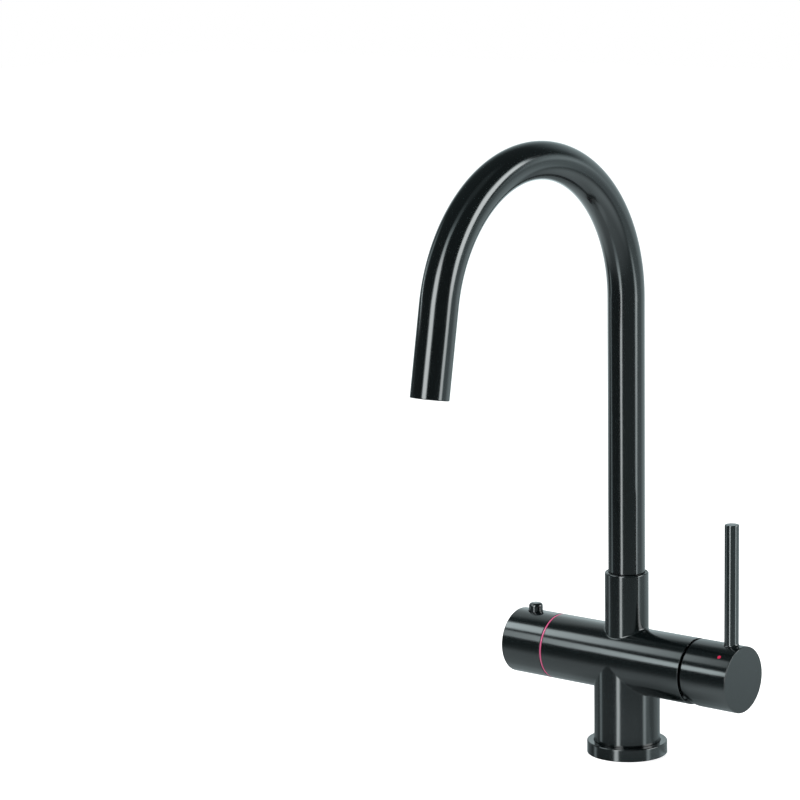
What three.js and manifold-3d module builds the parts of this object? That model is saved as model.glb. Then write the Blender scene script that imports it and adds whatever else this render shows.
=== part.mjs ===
// A single-hole kitchen tap for mixed and boiling water, in millimetres.
// The frame: origin at the centre of the foot's underside, +Z up. The horizontal bar lies along X, with
// the mixer lever at +X and the boiling-water knob at -X. The spout reaches towards -Y.
import * as THREE from 'three';
import { mergeVertices } from 'three/addons/utils/BufferGeometryUtils.js';
import Module from 'manifold-3d';

const wasm = await Module();
wasm.setup();

// ---------------------------------------------------------------------------------------------------
// Driving dimensions
// ---------------------------------------------------------------------------------------------------

const fitGap = 0.3; // between two pieces that seat on, in or round each other

// Foot and column
const flangeRadius = 27.4;
const flangeHeight = 8.6;
const flangeEdge = 0.6; // bevel round the flange's top
const columnSeatDepth = 3.6; // how deep the column stands in the flange
const columnRadius = 22.5;
const columnWall = 4;
const columnRoof = 2; // metal left under the bar where the column's bore ends
const gasketThickness = 1.6;
const gasketWidth = 4.5;
const gasketInset = 2.9; // from the flange's outer edge

// Inlet manifold and feed pipes
const manifoldShankRadius = 15.6;
const manifoldTop = 17;
const hoseSocketRadius = 4.2;
const hoseSocketDepth = 10;
const studSocketRadius = 3.4;
const studSocketDepth = 12;
const studOffset = 10.8;
const feedPipeRadius = 3.5;
const feedPipeWall = 1.1;
const feedSocketDepth = 5;
const mixerFeedX = 7.8;
const mixerFeedY = 6.2;
const boilingFeedX = -9.9;
const waterwayRadius = 2.2;
const waterwayWall = 1.4; // between the boiling tube's socket and the mixed water's riser
const oRingSection = 0.75; // radius of an O-ring's round section
const oRingGrooveWidth = 2.4;
const manifoldORingHeight = 11;

// Bar
const barRadius = 22.45;
const barAxisHeight = 65.4;
const bodyRightEnd = 57;
const bodyLeftEnd = -56.6;

// Neck
const neckRadius = 14.9;
const neckTop = 126.2;
const neckWall = 1.2;
const neckEdge = 0.7; // bevel round the neck's rim
const neckFloorInset = 4; // how far the neck's bore sinks below the bar's crest

// Spout
const spoutRadius = 12.5;
const spoutWall = 1.4;
const archCentreHeight = 313.7;
const archRadius = 99.4;
const archAngle = 169.9; // degrees of bend
const outletLength = 58.2; // straight pipe after the bend
const spoutEntry = 14; // length of pipe inside the neck
const spigotSleeveLength = 10;
const spigotBoreRadius = 8.3;
const spigotFootGap = 2.5; // above the neck's floor
const spigotORingRises = [4.5, 9.5]; // of the two O-rings above the spigot's foot
const glideRingHeight = 5;
const glideRingDepth = 1.2; // below the neck's rim
const swivelAngle = 75; // degrees to each side
const stopScrewRadius = 1.5;
const stopGrooveDepth = 2.1;
const stopDrop = 5.5; // of the stop groove below the spigot's shoulder
const boilingTubeRadius = 3.5;
const boilingTubeWall = 0.8;
const boilingSocketDepth = 7;
const boilingSealHeight = 1.7;
const boilingSealWidth = 2.2;

// Outlet
const outletRecess = 0.8;
const aeratorLength = 10;
const aeratorWall = 1.9;
const aeratorLip = 1.6; // of the housing's top, inwards
const aeratorSealThickness = 1.5;
const screenHoleRadius = 0.7;
const screenThickness = 1;
const screenRecess = 2;
const nozzleTipRadius = 3.2;
const nozzleBoreRadius = 2;
const nozzleTipLength = 6.5;
const nozzleSocketLength = 6;
const nozzleWall = 0.9;

// Mixer hub and lever
const hubGap = 2.2; // between the body's end and the hub's rim
const hubLength = 35.6;
const hubEdge = 0.5;
const reliefLength = 7.5; // of the hub's lower rim, which swings into the body
const reliefArcRadius = 15;
const hubRimWall = 1.2;
const hubEndWall = 5;
const pivotInset = 7.8; // of the cross pin inside the hub's rim
const flowAngle = 18; // degrees that the lever tilts outward
const leverX = 85.25;
const leverRadius = 4.85;
const leverTop = 169.4;
const leverEdge = 0.5;
const leverFootWall = 2.7; // between the stem's socket and the lever's foot
const dotRadius = 1.1;
const dotDepth = 1;
const dotAngle = 40.3; // degrees from the lever to each side
const grubScrewRadius = 2;
const grubScrewInset = 1;

// Mixer cartridge
const cartridgeRadius = 12.5;
const cartridgeWall = 2;
const cartridgeBaseThickness = 4;
const cartridgeShoulder = 1.3;
const cartridgeShoulderHeight = 4.7;
const cartridgeSealThickness = 1;
const cartridgeReach = 3.4; // of the housing past the cross pin
const discThickness = 3.5;
const movingDiscRadius = 6.4;
const stemRadius = 3.9;
const stemArmLength = 11;
const stemArmRadius = 1.4;
const stemTaper = 0.8; // where the arm widens to the stem
const stemFootRadius = 1.8;
const stemFootGap = 0.5; // round the ball at the stem's foot
const carrierFloor = 0.8; // thickness of the disc carrier under the ball
const carrierCollar = 0.4; // of the carrier above the ball
const pivotPinRadius = 1.25;
const inletPortY = 3.4;
const inletPortZ = 3.6;
const inletPortRadius = 1.4;
const outletPortZ = -2;
const crossingPortRadius = 1.8; // of the cartridge base's inlets
const pocketLand = 0.6; // between a port and the edge of the moving disc's pocket
const bodyEndWall = 1.25; // of the bar round the space that the hub swings into
const swingGap = 1.2; // behind the hub's rim at full tilt
const nutWall = 2.8;
const domeGap = 0.6;
const domeWall = 1.2;
const domeLipWidth = 3;
const domeInset = 1; // of the dome's edge from the hub's rim

// Boiling knob and its indicator ring
const ringWidth = 1.3;
const ringSideGap = 0.25;
const ringHeight = 2.4;
const ringRecess = 0.1;
const knobLength = 32.7;
const knobEdge = 0.7;
const knobEndWall = 7.6;
const spigotLength = 3.3; // of the body's end inside the knob

// Child lock
const buttonX = -77.8;
const buttonRadius = 4.87;
const buttonProud = 5.5; // above the knob's crest
const buttonHeadLength = 9.3;
const buttonEdge = 0.9;
const buttonTravel = 3;
const buttonShankRadius = 1.6;
const latchThickness = 3;
const latchWidth = 5;
const latchNoseHeight = 4.7;
const latchNoseThickness = 1.6;
const springWireRadius = 0.25;
const springTurns = 3.5;
const springSeatGap = 0.1;
const knobWeb = 2; // between the spring's well and the latch's slot
const knobSocketWall = 1; // between the spindle's socket and the latch's slot
const lockRingWall = 2.5;
const lockWebThickness = 1.5;
const latchGap = 0.4; // round the latch's nose and the lock ring
const ringEndGap = 1.4; // between the lock ring and the knob's floor
const knobTurn = 90; // degrees

// Boiling headwork
const headworkRadius = 10.7;
const headworkDepth = 22; // of its chamber in the body, from the body's end
const headworkNeckRadius = 7;
const headworkNutThickness = 2.3;
const headworkNutRadius = 9.5;
const headworkSealThickness = 0.8;
const headworkDiscRadius = 7;
const headworkDiscThickness = 2.5;
const spindleRadius = 3;
const spindleFootLength = 3;
const discPortOffset = 3.4;
const discPortRadius = 2;
const boilingReturnRise = 6.6; // of the boiling outlet's waterway above the bar's axis

// Facets round a turned surface
const fineSides = 40;
const mediumSides = 24;
const smallSides = 16;
const tinySides = 10;

// ---------------------------------------------------------------------------------------------------
// Materials
// ---------------------------------------------------------------------------------------------------

function material(color, metalness, roughness) {
  return new THREE.MeshStandardMaterial({ color, metalness, roughness });
}

const gunmetal = material(0x3a3f40, 0.95, 0.22);
const signalRed = material(0xd2416c, 0, 0.35);
const signalBlue = material(0x2f6fc4, 0, 0.35);
const brass = material(0xb08d4a, 0.9, 0.35);
const steel = material(0xa9adb0, 0.95, 0.3);
const copper = material(0xb5673f, 0.95, 0.35);
const rubber = material(0x17181a, 0, 0.8);
const ceramic = material(0xe9e6df, 0, 0.25);
const engineeringPlastic = material(0xd9d4c6, 0, 0.5);
const darkPlastic = material(0x202224, 0, 0.45);

// ---------------------------------------------------------------------------------------------------
// Solids
// ---------------------------------------------------------------------------------------------------

const radians = THREE.MathUtils.degToRad;

// A closed geometry as a solid that can be joined or cut.
function toSolid(geometry) {
  const bare = new THREE.BufferGeometry();
  bare.setAttribute('position', geometry.attributes.position);
  bare.setIndex(geometry.index);
  const merged = mergeVertices(bare, 1e-4);
  const mesh = new wasm.Mesh({
    numProp: 3,
    vertProperties: merged.attributes.position.array,
    triVerts: new Uint32Array(merged.index.array),
  });
  return new wasm.Manifold(mesh);
}

// A solid as a geometry.
function toGeometry(solid) {
  const mesh = solid.getMesh();
  const geometry = new THREE.BufferGeometry();
  geometry.setAttribute('position', new THREE.BufferAttribute(mesh.vertProperties, 3));
  geometry.setIndex(new THREE.BufferAttribute(mesh.triVerts, 1));
  geometry.computeVertexNormals();
  return geometry;
}

function join(first, ...others) {
  const joined = others.reduce((solid, other) => solid.add(toSolid(other)), toSolid(first));
  return toGeometry(joined);
}

function cut(base, ...tools) {
  const left = tools.reduce((solid, tool) => solid.subtract(toSolid(tool)), toSolid(base));
  return toGeometry(left);
}

// Turns a geometry made round Y so that its axis lies along the named axis, and moves it there.
// at holds the two coordinates of the axis line, in x, y, z order.
function place(geometry, axis, at) {
  if (axis === 'x') geometry.rotateZ(-Math.PI / 2).translate(0, at[0], at[1]);
  if (axis === 'y') geometry.translate(at[0], 0, at[1]);
  if (axis === 'z') geometry.rotateX(Math.PI / 2).translate(at[0], at[1], 0);
  return geometry;
}

// A turned piece: profile holds [radius, station along the axis] pairs in the order that faces out.
// A profile that doesn't start and end on the axis is closed on itself.
function turned(profile, axis, at = [0, 0], sides = mediumSides) {
  const points = profile.map(([radius, station]) => new THREE.Vector2(radius, station));
  const first = points[0];
  const last = points[points.length - 1];
  if (first.x > 0 || last.x > 0) points.push(first.clone());
  const area = points.reduce((sum, point, i) => {
    const next = points[(i + 1) % points.length];
    return sum + point.x * next.y - next.x * point.y;
  }, 0);
  if (area < 0) points.reverse();
  return place(new THREE.LatheGeometry(points, sides), axis, at);
}

// A round bar from one station to another.
function rod(radius, from, to, axis, at = [0, 0], sides = smallSides) {
  const low = Math.min(from, to);
  const high = Math.max(from, to);
  const profile = [[0, low], [radius, low], [radius, high], [0, high]];
  return turned(profile, axis, at, sides);
}

// A plain tube or washer.
function sleeve(outer, inner, from, to, axis, at = [0, 0], sides = smallSides) {
  const low = Math.min(from, to);
  const high = Math.max(from, to);
  const profile = [[inner, low], [outer, low], [outer, high], [inner, high]];
  return turned(profile, axis, at, sides);
}

// A ring of round section, such as an O-ring.
function roundRing(ringRadius, sectionRadius, station, axis, at = [0, 0]) {
  const profile = [];
  for (let i = 0; i < 6; i += 1) {
    const angle = (i / 6) * Math.PI * 2;
    profile.push([ringRadius + sectionRadius * Math.cos(angle), station + sectionRadius * Math.sin(angle)]);
  }
  return turned(profile, axis, at, mediumSides);
}

// A box between two corners.
function block(low, high) {
  const size = high.map((value, i) => value - low[i]);
  const geometry = new THREE.BoxGeometry(...size);
  return geometry.translate(...low.map((value, i) => value + size[i] / 2));
}

// A sector of a ring, extruded along Z: angles in degrees from +X towards +Y.
function ringSector(inner, outer, fromAngle, toAngle, low, high) {
  const shape = new THREE.Shape();
  shape.absarc(0, 0, outer, radians(fromAngle), radians(toAngle), false);
  shape.absarc(0, 0, inner, radians(toAngle), radians(fromAngle), true);
  shape.closePath();
  const settings = { depth: high - low, bevelEnabled: false, curveSegments: mediumSides };
  return new THREE.ExtrudeGeometry(shape, settings).translate(0, 0, low);
}

// Adds a named piece to a group.
function piece(group, name, geometry, finish) {
  const mesh = new THREE.Mesh(geometry, finish);
  mesh.name = name;
  group.add(mesh);
  return mesh;
}

// ---------------------------------------------------------------------------------------------------
// Places that several pieces share
// ---------------------------------------------------------------------------------------------------

const barAxis = [0, barAxisHeight]; // y and z of the bar's axis
const barCrest = barAxisHeight + barRadius;
const columnFoot = flangeHeight - columnSeatDepth + fitGap;
const columnBoreRadius = columnRadius - columnWall;
const columnBoreTop = barAxisHeight - barRadius - columnRoof;
const feedPipeTop = columnBoreTop + feedSocketDepth;
const mixerFeeds = [[mixerFeedX, -mixerFeedY], [mixerFeedX, mixerFeedY]]; // hot, cold
const boilingFeed = [boilingFeedX, 0];

const neckBoreRadius = neckRadius - neckWall;
const neckFloor = barCrest - neckFloorInset;
const mixedX = boilingTubeRadius + fitGap + waterwayWall + waterwayRadius; // of the mixed water's riser
const spoutFoot = neckTop - spoutEntry;
const spoutBoreRadius = spoutRadius - spoutWall;

// Mixer stations along X
const hubRim = bodyRightEnd + hubGap;
const hubEnd = hubRim + hubLength;
const pivotX = hubRim + pivotInset;
const tilt = radians(flowAngle);
const reliefDepth = reliefArcRadius - Math.sqrt(reliefArcRadius ** 2 - reliefLength ** 2);
const hubRimRadius = barRadius - reliefDepth;
const hubBoreRadius = hubRimRadius - hubRimWall;
const domeRadius = hubBoreRadius - domeGap;
const cartridgeEnd = pivotX + cartridgeReach;
const domeEnd = cartridgeEnd + fitGap + domeWall;
const domeEndRadius = Math.sqrt(domeRadius ** 2 - (domeEnd - pivotX) ** 2);
const hubFloor = pivotX + (domeEnd - pivotX) * Math.cos(tilt) + domeEndRadius * Math.sin(tilt) + domeGap;
const counterboreRadius = barRadius - bodyEndWall;
const rimSwing = pivotInset * Math.cos(tilt) + hubRimRadius * Math.sin(tilt);
const counterboreFloor = pivotX - rimSwing - swingGap;
const stemFootX = pivotX - stemArmLength;
const carrierRadius = movingDiscRadius;
const carrierLeft = stemFootX - stemFootRadius - stemFootGap - carrierFloor;
const carrierRight = stemFootX + stemFootRadius + carrierCollar;
const movingDiscRight = carrierLeft - fitGap;
const movingDiscLeft = movingDiscRight - discThickness;
const fixedDiscRight = movingDiscLeft - fitGap;
const fixedDiscLeft = fixedDiscRight - discThickness;
const cartridgeFloor = fixedDiscLeft - fitGap;
const cartridgeLeft = cartridgeFloor - cartridgeBaseThickness;
const cartridgeSealLeft = cartridgeLeft - fitGap - cartridgeSealThickness;
const mixerChamberEnd = cartridgeSealLeft - fitGap;
const cartridgeBoreRadius = cartridgeRadius - cartridgeWall;
const cartridgeBaseRadius = cartridgeRadius + cartridgeShoulder;
const shoulderRight = cartridgeLeft + cartridgeShoulderHeight;
const nutRadius = cartridgeRadius + fitGap + nutWall;
const socketEnd = hubEnd - hubEndWall;
const stemSocketRadius = stemRadius + fitGap;

// Knob stations along X, going left
const spigotEnd = bodyLeftEnd - spigotLength;
const ringRight = bodyLeftEnd - ringSideGap;
const ringLeft = ringRight - ringWidth;
const knobRim = ringLeft - ringSideGap;
const knobEnd = knobRim - knobLength;
const indicatorRadius = barRadius - ringRecess;
const spigotRadius = indicatorRadius - ringHeight - fitGap;
const lockWebRight = spigotEnd - fitGap;
const lockWebLeft = lockWebRight - lockWebThickness;
const headworkNutLeft = lockWebLeft - fitGap - headworkNutThickness;
const headworkEnd = headworkNutLeft - fitGap;
const noseRight = headworkEnd - fitGap;
const noseLeft = noseRight - latchNoseThickness;
const lockRingLeft = noseLeft - fitGap;
const knobFloor = lockRingLeft - ringEndGap;
const spindleSocketEnd = knobEnd + knobEndWall;
const spindleSocketRadius = spindleRadius + fitGap;
const headworkChamberEnd = bodyLeftEnd + headworkDepth;
const headworkInner = headworkChamberEnd - fitGap - headworkSealThickness - fitGap;

// Child lock heights, up from the spindle
const latchSlotFloor = barAxisHeight + spindleSocketRadius + knobSocketWall;
const latchBottom = latchSlotFloor + fitGap + buttonTravel;
const latchTop = latchBottom + latchThickness;
const latchSlotTop = latchTop + fitGap;
const springWellFloor = latchSlotTop + knobWeb;
const buttonTop = barCrest + buttonProud;
const buttonHeadBottom = buttonTop - buttonHeadLength;
const noseTopHeight = latchTop + latchNoseHeight - barAxisHeight;
const noseRestRadius = Math.hypot(noseTopHeight, latchWidth / 2);
const nosePressedRadius = Math.hypot(noseTopHeight - buttonTravel, latchWidth / 2);
const lockRingBoreRadius = nosePressedRadius + latchGap;
const lockSlotRadius = noseRestRadius + latchGap;
const lockRingRadius = lockSlotRadius + lockRingWall;
const knobBoreRadius = lockRingRadius + latchGap;

// ---------------------------------------------------------------------------------------------------
// Foot
// ---------------------------------------------------------------------------------------------------

function baseFlange() {
  const seatRadius = columnRadius + fitGap;
  const seatFloor = flangeHeight - columnSeatDepth;
  const shankHole = manifoldShankRadius + fitGap;
  const grooveOuter = flangeRadius - gasketInset + fitGap;
  const grooveInner = flangeRadius - gasketInset - gasketWidth - fitGap;
  const grooveTop = gasketThickness + fitGap;
  return turned([
    [shankHole, 0],
    [grooveInner, 0],
    [grooveInner, grooveTop],
    [grooveOuter, grooveTop],
    [grooveOuter, 0],
    [flangeRadius, 0],
    [flangeRadius, flangeHeight - flangeEdge],
    [flangeRadius - flangeEdge, flangeHeight],
    [seatRadius, flangeHeight],
    [seatRadius, seatFloor],
    [shankHole, seatFloor],
  ], 'z', [0, 0], fineSides);
}

function deckGasket() {
  const outer = flangeRadius - gasketInset;
  return sleeve(outer, outer - gasketWidth, 0, gasketThickness, 'z', [0, 0], fineSides);
}

// The brass plug in the column's foot. Its underside has three hose sockets and a socket for the
// fixing stud round a solid middle, and the feed pipes stand in its top.
function inletManifold() {
  const radius = columnBoreRadius - fitGap;
  const grooveRadius = columnBoreRadius - 2 * oRingSection - 2 * fitGap;
  const grooveLow = manifoldORingHeight - oRingGrooveWidth / 2;
  const grooveHigh = manifoldORingHeight + oRingGrooveWidth / 2;
  const plug = turned([
    [0, 0],
    [manifoldShankRadius, 0],
    [manifoldShankRadius, columnFoot],
    [radius, columnFoot],
    [radius, grooveLow],
    [grooveRadius, grooveLow],
    [grooveRadius, grooveHigh],
    [radius, grooveHigh],
    [radius, manifoldTop],
    [0, manifoldTop],
  ], 'z', [0, 0], mediumSides);
  const holes = [rod(studSocketRadius, -1, studSocketDepth, 'z', [0, studOffset], 12)];
  for (const at of [...mixerFeeds, boilingFeed]) {
    holes.push(rod(hoseSocketRadius, -1, hoseSocketDepth, 'z', at, smallSides));
    holes.push(rod(waterwayRadius, hoseSocketDepth - 1, manifoldTop + 1, 'z', at, tinySides));
    const pipeSeat = manifoldTop - feedSocketDepth;
    holes.push(rod(feedPipeRadius + fitGap, pipeSeat, manifoldTop + 1, 'z', at, smallSides));
  }
  return cut(plug, ...holes);
}

function manifoldORing() {
  return roundRing(columnBoreRadius - fitGap - oRingSection, oRingSection, manifoldORingHeight, 'z');
}

function feedPipe(at) {
  const bottom = manifoldTop - feedSocketDepth + fitGap;
  const top = feedPipeTop - fitGap;
  return sleeve(feedPipeRadius, feedPipeRadius - feedPipeWall, bottom, top, 'z', at, smallSides);
}

// ---------------------------------------------------------------------------------------------------
// Body casting: column, bar and neck in one, with the chambers and waterways
// ---------------------------------------------------------------------------------------------------

function bodyCasting() {
  const column = rod(columnRadius, columnFoot, barAxisHeight, 'z', [0, 0], fineSides);
  const bar = rod(barRadius, bodyLeftEnd, bodyRightEnd, 'x', barAxis, fineSides);
  const spigot = rod(spigotRadius, spigotEnd, bodyLeftEnd + 1, 'x', barAxis, fineSides);
  const neck = turned([
    [0, barAxisHeight],
    [neckRadius, barAxisHeight],
    [neckRadius, neckTop - neckEdge],
    [neckRadius - neckEdge / 2, neckTop],
    [0, neckTop],
  ], 'z', [0, 0], fineSides);
  const outside = join(column, bar, spigot, neck);

  // Chambers
  const columnBore = rod(columnBoreRadius, columnFoot - 1, columnBoreTop, 'z', [0, 0], mediumSides);
  const neckBore = rod(neckBoreRadius, neckFloor, neckTop + 1, 'z', [0, 0], fineSides);
  const mixerChamber = turned([
    [0, mixerChamberEnd],
    [cartridgeBaseRadius + fitGap, mixerChamberEnd],
    [cartridgeBaseRadius + fitGap, shoulderRight],
    [nutRadius + fitGap, shoulderRight],
    [nutRadius + fitGap, counterboreFloor],
    [counterboreRadius, counterboreFloor],
    [counterboreRadius, bodyRightEnd + 1],
    [0, bodyRightEnd + 1],
  ], 'x', barAxis, mediumSides);
  const headworkChamber = rod(
    headworkRadius + fitGap, spigotEnd - 1, headworkChamberEnd, 'x', barAxis, mediumSides,
  );

  // Waterways: hot and cold to the mixer, mixed water to the neck, boiling water through the headwork
  const ways = [];
  for (const at of [...mixerFeeds, boilingFeed]) {
    ways.push(rod(feedPipeRadius + fitGap, columnBoreTop - 1, feedPipeTop, 'z', at, smallSides));
  }
  const inletHeight = barAxisHeight + inletPortZ;
  const outletHeight = barAxisHeight + outletPortZ;
  for (const [x, y] of mixerFeeds) {
    ways.push(rod(waterwayRadius, feedPipeTop - 1, inletHeight + waterwayRadius, 'z', [x, y], tinySides));
    ways.push(rod(waterwayRadius, x, mixerChamberEnd + 1, 'x', [y, inletHeight], tinySides));
  }
  ways.push(rod(waterwayRadius, mixedX, mixerChamberEnd + 1, 'x', [0, outletHeight], tinySides));
  ways.push(rod(waterwayRadius, outletHeight, neckFloor + 1, 'z', [mixedX, 0], tinySides));
  ways.push(rod(waterwayRadius, feedPipeTop - 1, outletHeight + waterwayRadius, 'z', boilingFeed, tinySides));
  ways.push(rod(waterwayRadius, headworkChamberEnd - 1, boilingFeedX, 'x', [0, outletHeight], tinySides));
  const returnHeight = barAxisHeight + boilingReturnRise;
  const boilingSocketFloor = neckFloor - boilingSocketDepth;
  ways.push(rod(waterwayRadius, headworkChamberEnd - 1, 0, 'x', [0, returnHeight], tinySides));
  ways.push(rod(waterwayRadius, returnHeight, boilingSocketFloor + 1, 'z', [0, 0], tinySides));
  ways.push(rod(boilingTubeRadius + fitGap, boilingSocketFloor, neckFloor + 1, 'z', [0, 0], smallSides));

  // The tapped hole for the spout's stop screw, in the neck's back
  const screwHole = rod(
    stopScrewRadius + fitGap, neckBoreRadius - 1, neckRadius + 1, 'y', [0, stopHeight], tinySides,
  );
  return cut(outside, columnBore, neckBore, mixerChamber, headworkChamber, ...ways, screwHole);
}

// ---------------------------------------------------------------------------------------------------
// Mixer cartridge
// ---------------------------------------------------------------------------------------------------

// The ports for hot, cold and mixed water, as holes from one station to another.
function portHoles(from, to, inletY, inletRadius) {
  const inletHeight = barAxisHeight + inletPortZ;
  return [
    rod(inletRadius, from, to, 'x', [-inletY, inletHeight], tinySides),
    rod(inletRadius, from, to, 'x', [inletY, inletHeight], tinySides),
    rod(inletPortRadius, from, to, 'x', [0, barAxisHeight + outletPortZ], tinySides),
  ];
}

// Where the inlets cross from the casting's waterways to the narrower ports of the discs.
const crossingPortY = (mixerFeedY + inletPortY) / 2;

function cartridgeSeal() {
  const radius = cartridgeBaseRadius - fitGap;
  const right = cartridgeSealLeft + cartridgeSealThickness;
  const disc = rod(radius, cartridgeSealLeft, right, 'x', barAxis, mediumSides);
  return cut(disc, ...portHoles(cartridgeSealLeft - 1, right + 1, crossingPortY, crossingPortRadius));
}

function cartridgeHousing() {
  const shell = turned([
    [0, cartridgeLeft],
    [cartridgeBaseRadius, cartridgeLeft],
    [cartridgeBaseRadius, shoulderRight - fitGap],
    [cartridgeRadius, shoulderRight - fitGap],
    [cartridgeRadius, cartridgeEnd],
    [cartridgeBoreRadius, cartridgeEnd],
    [cartridgeBoreRadius, cartridgeFloor],
    [0, cartridgeFloor],
  ], 'x', barAxis, mediumSides);
  return cut(shell, ...portHoles(cartridgeLeft - 1, cartridgeFloor + 1, crossingPortY, crossingPortRadius));
}

function fixedDisc() {
  const disc = rod(cartridgeBoreRadius - fitGap, fixedDiscLeft, fixedDiscRight, 'x', barAxis, mediumSides);
  return cut(disc, ...portHoles(fixedDiscLeft - 1, fixedDiscRight + 1, inletPortY, inletPortRadius));
}

// The moving disc has a pocket that joins the ports once the disc has slid up.
function movingDisc() {
  const disc = rod(movingDiscRadius, movingDiscLeft, movingDiscRight, 'x', barAxis, mediumSides);
  const pocketTop = inletPortZ - inletPortRadius - pocketLand;
  const pocketBottom = outletPortZ - inletPortRadius - pocketLand;
  const pocket = block(
    [movingDiscLeft - 1, -inletPortY, barAxisHeight + pocketBottom],
    [movingDiscLeft + discThickness / 2, inletPortY, barAxisHeight + pocketTop],
  );
  return cut(disc, pocket);
}

// The carrier takes the ball at the stem's foot in a slot, and slides the moving disc.
function discCarrier() {
  const disc = rod(carrierRadius, carrierLeft, carrierRight, 'x', barAxis, mediumSides);
  const half = stemFootRadius + stemFootGap;
  const slot = block(
    [carrierLeft + carrierFloor, -half, barAxisHeight - half],
    [carrierRight + 1, half, barAxisHeight + half],
  );
  return cut(disc, slot);
}

// The guide turns in the housing with the stem, and holds the cross pin that the stem tilts about.
function stemGuide() {
  const left = carrierRight + fitGap;
  const right = cartridgeEnd - fitGap;
  const barrel = rod(cartridgeBoreRadius - fitGap, left, right, 'x', barAxis, mediumSides);
  const reach = Math.sin(tilt) * (pivotX - left) + stemArmRadius;
  const drop = Math.sin(tilt) * (right - pivotX) + stemRadius;
  const slot = block(
    [left - 1, -stemRadius - fitGap, barAxisHeight - drop - 3 * fitGap],
    [right + 1, stemRadius + fitGap, barAxisHeight + Math.max(reach, stemRadius) + 3 * fitGap],
  );
  const pinHole = rod(
    pivotPinRadius + fitGap, -cartridgeRadius, cartridgeRadius, 'y', [pivotX, barAxisHeight], 12,
  );
  return cut(barrel, slot, pinHole);
}

function stemPivotPin() {
  const half = Math.sqrt((cartridgeBoreRadius - fitGap) ** 2 - pivotPinRadius ** 2) - 2 * fitGap;
  return rod(pivotPinRadius, -half, half, 'y', [pivotX, barAxisHeight], 12);
}

function mixerStem() {
  const bodyLeft = pivotX - stemRadius - stemTaper;
  const profile = [];
  for (let i = 0; i < 6; i += 1) {
    const angle = (i / 8) * Math.PI;
    const x = stemFootX - stemFootRadius * Math.cos(angle);
    const radius = stemFootRadius * Math.sin(angle);
    if (i < 4 || radius > stemArmRadius) profile.push([radius, x]);
  }
  profile.push([stemArmRadius, stemFootX + stemFootRadius]);
  profile.push([stemArmRadius, bodyLeft]);
  profile.push([stemRadius, bodyLeft + stemTaper]);
  profile.push([stemRadius, socketEnd - fitGap]);
  profile.push([0, socketEnd - fitGap]);
  const stem = turned(profile, 'x', barAxis, smallSides);
  const hole = rod(
    pivotPinRadius + fitGap, -stemRadius - 1, stemRadius + 1, 'y', [pivotX, barAxisHeight], 12,
  );
  return cut(stem, hole);
}

function cartridgeNut() {
  const right = counterboreFloor - fitGap;
  return sleeve(nutRadius, cartridgeRadius + fitGap, shoulderRight, right, 'x', barAxis, mediumSides);
}

// The ball-shaped cover that shows in the gap when the hub tilts. Its outside is a ball round the cross
// pin, so the hub's bore keeps the same distance to it at every tilt.
function domeCover() {
  const left = domeInset - pivotInset;
  const right = domeEnd - pivotX;
  const innerRadius = domeRadius - domeWall;
  const steps = 4;
  const outside = [];
  const inside = [];
  for (let i = 0; i <= steps; i += 1) {
    const x = left + ((right - left) * i) / steps;
    outside.push([Math.sqrt(domeRadius ** 2 - x ** 2), pivotX + x]);
  }
  const innerRight = right - domeWall;
  for (let i = 0; i <= steps; i += 1) {
    const x = innerRight + ((left - innerRight) * i) / steps;
    inside.push([Math.sqrt(innerRadius ** 2 - x ** 2), pivotX + x]);
  }
  const lip = cartridgeRadius - domeLipWidth;
  const rim = [[lip, domeEnd], [lip, domeEnd - domeWall]];
  const skirtBore = cartridgeRadius + fitGap;
  const skirt = [
    [skirtBore, domeEnd - domeWall],
    [skirtBore, pivotX],
    [skirtBore + domeWall, pivotX],
    [skirtBore + domeWall, domeEnd - domeWall],
  ];
  return turned([...outside, ...rim, ...skirt, ...inside], 'x', barAxis, mediumSides);
}

// ---------------------------------------------------------------------------------------------------
// Mixer hub and lever
// ---------------------------------------------------------------------------------------------------

// How far the hub's surface is cut back at a distance from its rim, at the very bottom.
function reliefAt(inset) {
  const run = Math.max(0, reliefLength - inset);
  return reliefArcRadius - Math.sqrt(reliefArcRadius ** 2 - run ** 2);
}

// Cuts the lower half of the hub's outside back towards its rim, most at the bottom and fading out at
// mid height, so that the rim clears the body as it swings in.
function relieve(geometry) {
  const position = geometry.attributes.position;
  for (let i = 0; i < position.count; i += 1) {
    const y = position.getY(i);
    const z = position.getZ(i) - barAxisHeight;
    const radius = Math.hypot(y, z);
    if (radius < hubRimRadius || z > 0) continue;
    const depth = reliefAt(position.getX(i) - hubRim) * (-z / radius);
    const share = (radius - depth) / radius;
    position.setY(i, y * share);
    position.setZ(i, barAxisHeight + z * share);
  }
  return geometry;
}

// A short rod that points out of the hub at the index dot's angle. side is -1 in front, 1 behind.
function dotRod(side, radius, from, to) {
  const geometry = rod(radius, from, to, 'z', [0, 0], 12);
  geometry.rotateX(-radians(dotAngle) * side);
  return geometry.translate(leverX, 0, barAxisHeight);
}

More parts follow.
